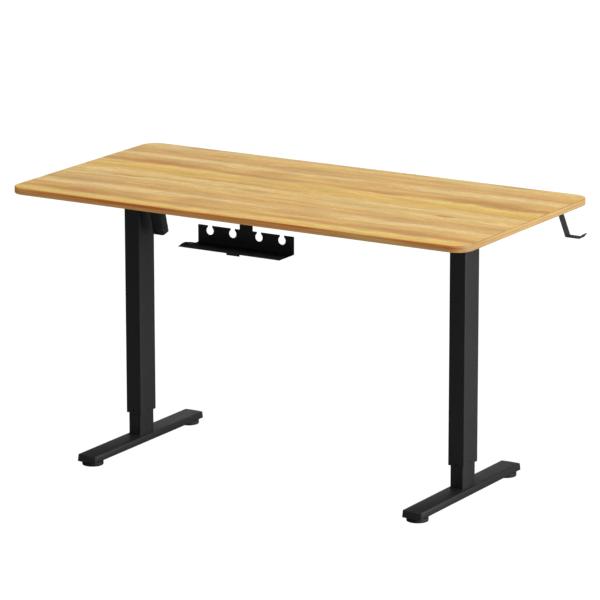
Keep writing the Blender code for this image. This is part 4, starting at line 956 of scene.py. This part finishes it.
def lofted(rings, turn=None, place=(0.0, 0.0, 0.0), steps=5, band=False):
    """Rounded rectangles stacked along an axis: each ring is a height, width, depth and corner radius.

    The first and last rings are closed by one point each at their middles. A band is left open through
    its middle instead: its last ring runs back to its first.
    """
    rows = []
    for height, width, depth, corner in rings:
        path, _ = rounded_path(width, depth, corner, steps)
        rows.append(np.concatenate([path, np.full((len(path), 1), height)], 1))
    flat_ends = [row * np.array([0.0, 0.0, 1.0]) for row in (rows[0], rows[-1])]
    points = np.stack([*rows, rows[0]] if band else [flat_ends[0], *rows, flat_ends[1]], 1)
    if turn is not None:
        points = points @ np.array(turn.transposed())
    return points + np.array(place)


def towards(way):
    """The turn that carries the stacking axis to a direction."""
    return Vector((0, 0, 1)).rotation_difference(Vector(way)).to_matrix()


def machine_screw(name, place, facing, reach, finish, body):
    """A short pan-head screw with a cross recess, its head at a place on a face and facing outwards."""
    sizes = (reach, reach * 0.62, reach * 0.5, reach * 1.2)
    points = screw_points(*sizes, cross_recess, reach * 0.35, reach * 0.5)
    turn = Vector((0, 0, -1)).rotation_difference(Vector(facing)).to_matrix()
    start = np.array(place) + np.array(facing) * reach * 0.55
    grid_piece(name, points @ np.array(turn.transposed()) + start, finish, body, smooth=35.0)


def strain_relief(name, place, way, length, wide, narrow, body="frame"):
    """A tapered rubber sleeve of stacked circles with three thinner necks, standing out from a face."""
    share = np.linspace(0, 1, 15)
    radius = wide + (narrow - wide) * share
    radius = radius - 0.0004 * (np.abs(np.sin(3.5 * np.pi * share)) > 0.85) * (share > 0.15)
    rings = [(share[k] * length, 2 * radius[k], 2 * radius[k], radius[k] * 0.999) for k in range(15)]
    grid_piece(name, lofted(rings, towards(way), place, 6), LEAD_SHEATH, body, smooth=50.0)


# The motor hangs at a slant about the worm's axis: the axis's place and slant, and its own three directions.
MOTOR_PLACE = np.array([-0.47375, -0.01686, 0.72132])
MOTOR_SLANT = math.radians(15.5)
MOTOR_FACE = 0.0150
MOTOR_TURN = Matrix.Rotation(MOTOR_SLANT, 3, "X")
GEARBOX_SCREWS = ((-0.0110, -0.0130), (-0.0110, 0.0130), (0.0305, -0.0130), (0.0305, 0.0130))


def on_motor(x, y, z):
    """A place given from the worm's axis, in the motor's slanted directions."""
    return MOTOR_PLACE + np.array(MOTOR_TURN @ Vector((x, y, z)))


for number, (y, z) in enumerate(GEARBOX_SCREWS):
    face = on_motor(0.0160, y, z)
    machine_screw(f"gearbox_screw_{number + 1}", face, (1, 0, 0), 0.0026, ZINC, "frame")
# Rings around the housing, open through the middle so that the rotor passes: each one's top and height.
MOTOR_COLLARS = (("motor_upper_collar", -0.0176, 0.0045), ("motor_end_collar", -0.1010, 0.0040))
for name, top, tall in MOTOR_COLLARS:
    collar = [
        (0.0, 0.0350, 0.0290, 0.0055),
        (-tall, 0.0350, 0.0290, 0.0055),
        (-tall, 0.0362, 0.0302, 0.0061),
        (-tall, 0.0370, 0.0310, 0.0064),
        (-0.0003, 0.0370, 0.0310, 0.0064),
        (0.0, 0.0366, 0.0306, 0.0062),
    ]
    points = lofted(collar, MOTOR_TURN, on_motor(0.0, 0.0, top), band=True)
    grid_piece(name, points, PLASTIC_EDGE, "frame", smooth=50.0)
# The front ribs stop short of the lead's gland.
RIB_END = -0.0960
RIB_LENGTHS = (("rear", -MOTOR_FACE, 0.0640), ("front", MOTOR_FACE, 0.0430))
for number, x in enumerate(np.linspace(-0.0100, 0.0100, 6)):
    for face, y, length in RIB_LENGTHS:
        rib = [(height, 0.0010, 0.0012, 0.0004) for height in (0.0, length)]
        points = lofted(rib, MOTOR_TURN, on_motor(x, y, RIB_END), 3)
        name = f"motor_{face}_rib_{number + 1}"
        grid_piece(name, points, BLACK_PLASTIC, "frame", smooth=50.0)
gland_way = MOTOR_TURN @ Vector((0, 1, 0))
strain_relief("motor_lead_gland", on_motor(0.0, MOTOR_FACE, -0.0450), gland_way, 0.0110, 0.0046, 0.0030)


# ---- Control box ----------------------------------------------------------------------
# A moulded box screwed up under the top, with the mains inlet in its end and the motor's and the
# handset's leads plugged into the other. The board is inside.


# Where the green board ends and its black inlet shell begins, along the length.
BOARD_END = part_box("control_board")[1].x - 0.0068


def circuit_board():
    """Green board: varnish over copper tracks in a square pattern, with pale dots for solder.

    Past the board's end the black moulded shell of the mains inlet begins.
    """
    made, tree, shader, place = new_material("circuit_board", 0.35)
    tracks = add_node(tree, "ShaderNodeTexBrick", {"Vector": place, "Scale": 160.0, "Mortar Size": 0.10})
    solder = add_node(tree, "ShaderNodeTexVoronoi", {"Vector": place, "Scale": 300.0}).outputs["Distance"]
    green = mix_colour(tree, tracks.outputs["Fac"], (0.012, 0.105, 0.040), (0.050, 0.210, 0.075))
    dots = remap(tree, solder, 0.10, 0.14, 1.0, 0.0)
    along = add_node(tree, "ShaderNodeSeparateXYZ", {0: place}).outputs[0]
    inlet = remap(tree, along, BOARD_END, BOARD_END + 0.0001, 0.0, 1.0)
    board = mix_colour(tree, dots, green, (0.55, 0.55, 0.52))
    tint(tree, shader, mix_colour(tree, inlet, board, (0.012, 0.012, 0.013)))
    roughen(tree, shader, remap(tree, solder, 0.0, 0.6, 0.28, 0.42))
    bump(tree, shader, tracks.outputs["Fac"], 0.00004, 0.5)
    return made


refinish("control_board", circuit_board())
for node in ("control_box_base", "control_box_cover"):
    eased_copy(node, node + "_moulded", BLACK_PLASTIC, PLASTIC_EDGE, 0.0004)

box_low, box_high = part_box("control_box_cover")
box_middle = (box_low + box_high) / 2
socket_level = box_middle.z
for number, (x, y) in enumerate(((-1, -1), (1, -1), (-1, 1), (1, 1))):
    place = (box_middle.x + 0.100 * x, box_middle.y + 0.038 * y, box_low.z)
    machine_screw(f"box_screw_{number + 1}", place, (0, 0, -1), 0.0028, BLACK_OXIDE, "frame")
MOTOR_SOCKET = 0.125
HANDSET_SOCKET = 0.155
for name, y in (("motor", MOTOR_SOCKET), ("handset", HANDSET_SOCKET)):
    plug = [
        (0.0, 0.0120, 0.0120, 0.0012),
        (0.0032, 0.0120, 0.0120, 0.0012),
        (0.0038, 0.0112, 0.0112, 0.0014),
        (0.0060, 0.0104, 0.0104, 0.0018),
        (0.0066, 0.0096, 0.0096, 0.0020),
    ]
    start = (box_low.x - 0.0002, y, socket_level)
    points = lofted(plug, towards((-1, 0, 0)), start, 4)
    grid_piece(f"{name}_lead_plug", points, PLASTIC_EDGE, "frame")
    sleeve_start = (box_low.x - 0.0060, y, socket_level)
    strain_relief(f"{name}_plug_sleeve", sleeve_start, (-1, 0, 0), 0.0120, 0.0042, 0.0027)
VENTS = 9
for number, x in enumerate(np.linspace(-0.036, 0.036, VENTS)):
    for face, y in (("rear", box_low.y), ("front", box_high.y)):
        louvre = [(-0.0090, 0.0030, 0.0008, 0.0003), (0.0090, 0.0030, 0.0008, 0.0003)]
        points = lofted(louvre, None, (box_middle.x + x, y, socket_level), 3)
        grid_piece(f"box_{face}_louvre_{number + 1}", points, PLASTIC_EDGE, "frame")
PIN_PLACES = ((-0.0060, -0.0022), (0.0060, -0.0022), (0.0, 0.0030))
for number, (across, above_middle) in enumerate(PIN_PLACES):
    pin = [(0.0, 0.0016, 0.0038, 0.0004), (0.0060, 0.0016, 0.0038, 0.0004), (0.0066, 0.0008, 0.0030, 0.0003)]
    place = (box_high.x - 0.0094, 0.110 + across, socket_level + above_middle)
    points = lofted(pin, towards((1, 0, 0)), place, 3)
    grid_piece(f"inlet_pin_{number + 1}", points, ZINC, "frame")


# ---- Handset --------------------------------------------------------------------------
# A sloped moulded case under the user's edge, with a smoked window, two keys for up and down and
# two for kept heights.


def smoked_window():
    """Dark glossy window with faint smears."""
    made, tree, shader, place = new_material("smoked_window", 0.08)
    smear = noise(tree, place, 220.0, 3.0)
    tint(tree, shader, ramp(tree, smear, ((0.3, (0.006, 0.006, 0.007)), (0.7, (0.011, 0.011, 0.013)))))
    roughen(tree, shader, remap(tree, smear, 0.4, 0.7, 0.05, 0.16))
    return made


refinish("handset_display", smoked_window())
eased_copy("handset_case", "handset_case_moulded", BLACK_PLASTIC, PLASTIC_EDGE, 0.0004)
for name in ("up_button", "down_button", "preset_one_button", "preset_two_button"):
    eased_copy(name, name + "_moulded", GREY_PLASTIC, GREY_PLASTIC, 0.0002)


PRINT_LIFT = 0.00012
KEY_PRINT = moulded_plastic("key_print", (0.62, 0.62, 0.60), 0.55)


def key_mark(name, node, outline, shift=0.0):
    """A thin raised mark on a key's face: its outline, given across and up, closed at its middle."""
    low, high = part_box(node)
    middle = (low + high) / 2
    flat = np.array(outline) + np.array([shift, 0.0])
    centre = np.broadcast_to(flat.mean(0), flat.shape)
    levels = (-PRINT_LIFT, -PRINT_LIFT, PRINT_LIFT, PRINT_LIFT)
    rows = [
        np.stack([middle.x + ring[:, 0], np.full(len(ring), high.y + level), middle.z + ring[:, 1]], 1)
        for ring, level in zip((centre, flat, flat, centre), levels)
    ]
    grid_piece(name, np.stack(rows, 1), KEY_PRINT, nodes[node]["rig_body"])


around_dot = np.linspace(0, 2 * np.pi, 14, endpoint=False)
dot = 0.00075 * np.stack([np.cos(around_dot), np.sin(around_dot)], 1)
arrow = np.array([(-0.0022, -0.0012), (0.0022, -0.0012), (0.0, 0.0020)])
key_mark("up_mark", "up_button", arrow)
key_mark("down_mark", "down_button", -arrow)
key_mark("preset_one_mark", "preset_one_button", dot)
key_mark("preset_two_first_mark", "preset_two_button", dot, -0.0014)
key_mark("preset_two_second_mark", "preset_two_button", dot, 0.0014)
case_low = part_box("handset_case")[0]
strain_relief("handset_lead_sleeve", (-0.42575, case_low.y, 0.7500), (0, -1, 0), 0.0120, 0.0042, 0.0027)


# ---- Leads ----------------------------------------------------------------------------
# Two round sheathed leads hang in shallow curves under the top: the motor's and the handset's, each
# plugged into the control box. Both ends of each go straight out for 13 mm.

LEAD_RADIUS = 0.0022
LEAD_STRAIGHT = 0.013
LEAD_STEPS = 20


def hanging_route(start, start_way, end, end_way, reach, droop):
    """Straight out at both ends, and between them a cubic Bezier curve with its handles lowered."""
    first = np.array(start) + np.array(start_way) * LEAD_STRAIGHT
    last = np.array(end) + np.array(end_way) * LEAD_STRAIGHT
    sink = np.array([0.0, 0.0, droop])
    handles = first + np.array(start_way) * reach - sink, last + np.array(end_way) * reach - sink
    t = np.linspace(0, 1, LEAD_STEPS + 1)[:, None]
    near_half = first * (1 - t) ** 3 + handles[0] * 3 * (1 - t) ** 2 * t
    curve = near_half + handles[1] * 3 * (1 - t) * t**2 + last * t**3
    return np.concatenate([[start], curve, [end]])


def hanging_lead(node, route):
    """A round lead along a route, as a curve with a circular section."""
    data = bpy.data.curves.new(node + "_sheathed", "CURVE")
    data.dimensions = "3D"
    line = data.splines.new("POLY")
    line.points.add(len(route) - 1)
    line.points.foreach_set("co", np.concatenate([route, np.ones((len(route), 1))], 1).ravel())
    data.bevel_depth = LEAD_RADIUS
    data.bevel_resolution = 5
    data.use_fill_caps = True
    data.materials.append(LEAD_SHEATH)
    made = bpy.data.objects.new(node + "_sheathed", data)
    scene.collection.objects.link(made)
    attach(made, "frame")
    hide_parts(node)


motor_gland = (-0.47375, 0.01030, 0.68215)
motor_socket = (box_low.x - 0.0007, MOTOR_SOCKET, socket_level)
handset_exit = (-0.42575, 0.28730, 0.7500)
handset_socket = (box_low.x - 0.0007, HANDSET_SOCKET, socket_level)
motor_out = (0.0, math.cos(MOTOR_SLANT), math.sin(MOTOR_SLANT))
motor_route = hanging_route(motor_gland, motor_out, motor_socket, (-1, 0, 0), 0.060, 0.020)
handset_route = hanging_route(handset_exit, (0, -1, 0), handset_socket, (-1, 0, 0), 0.070, 0.027)
hanging_lead("motor_lead", motor_route)
hanging_lead("handset_lead", handset_route)
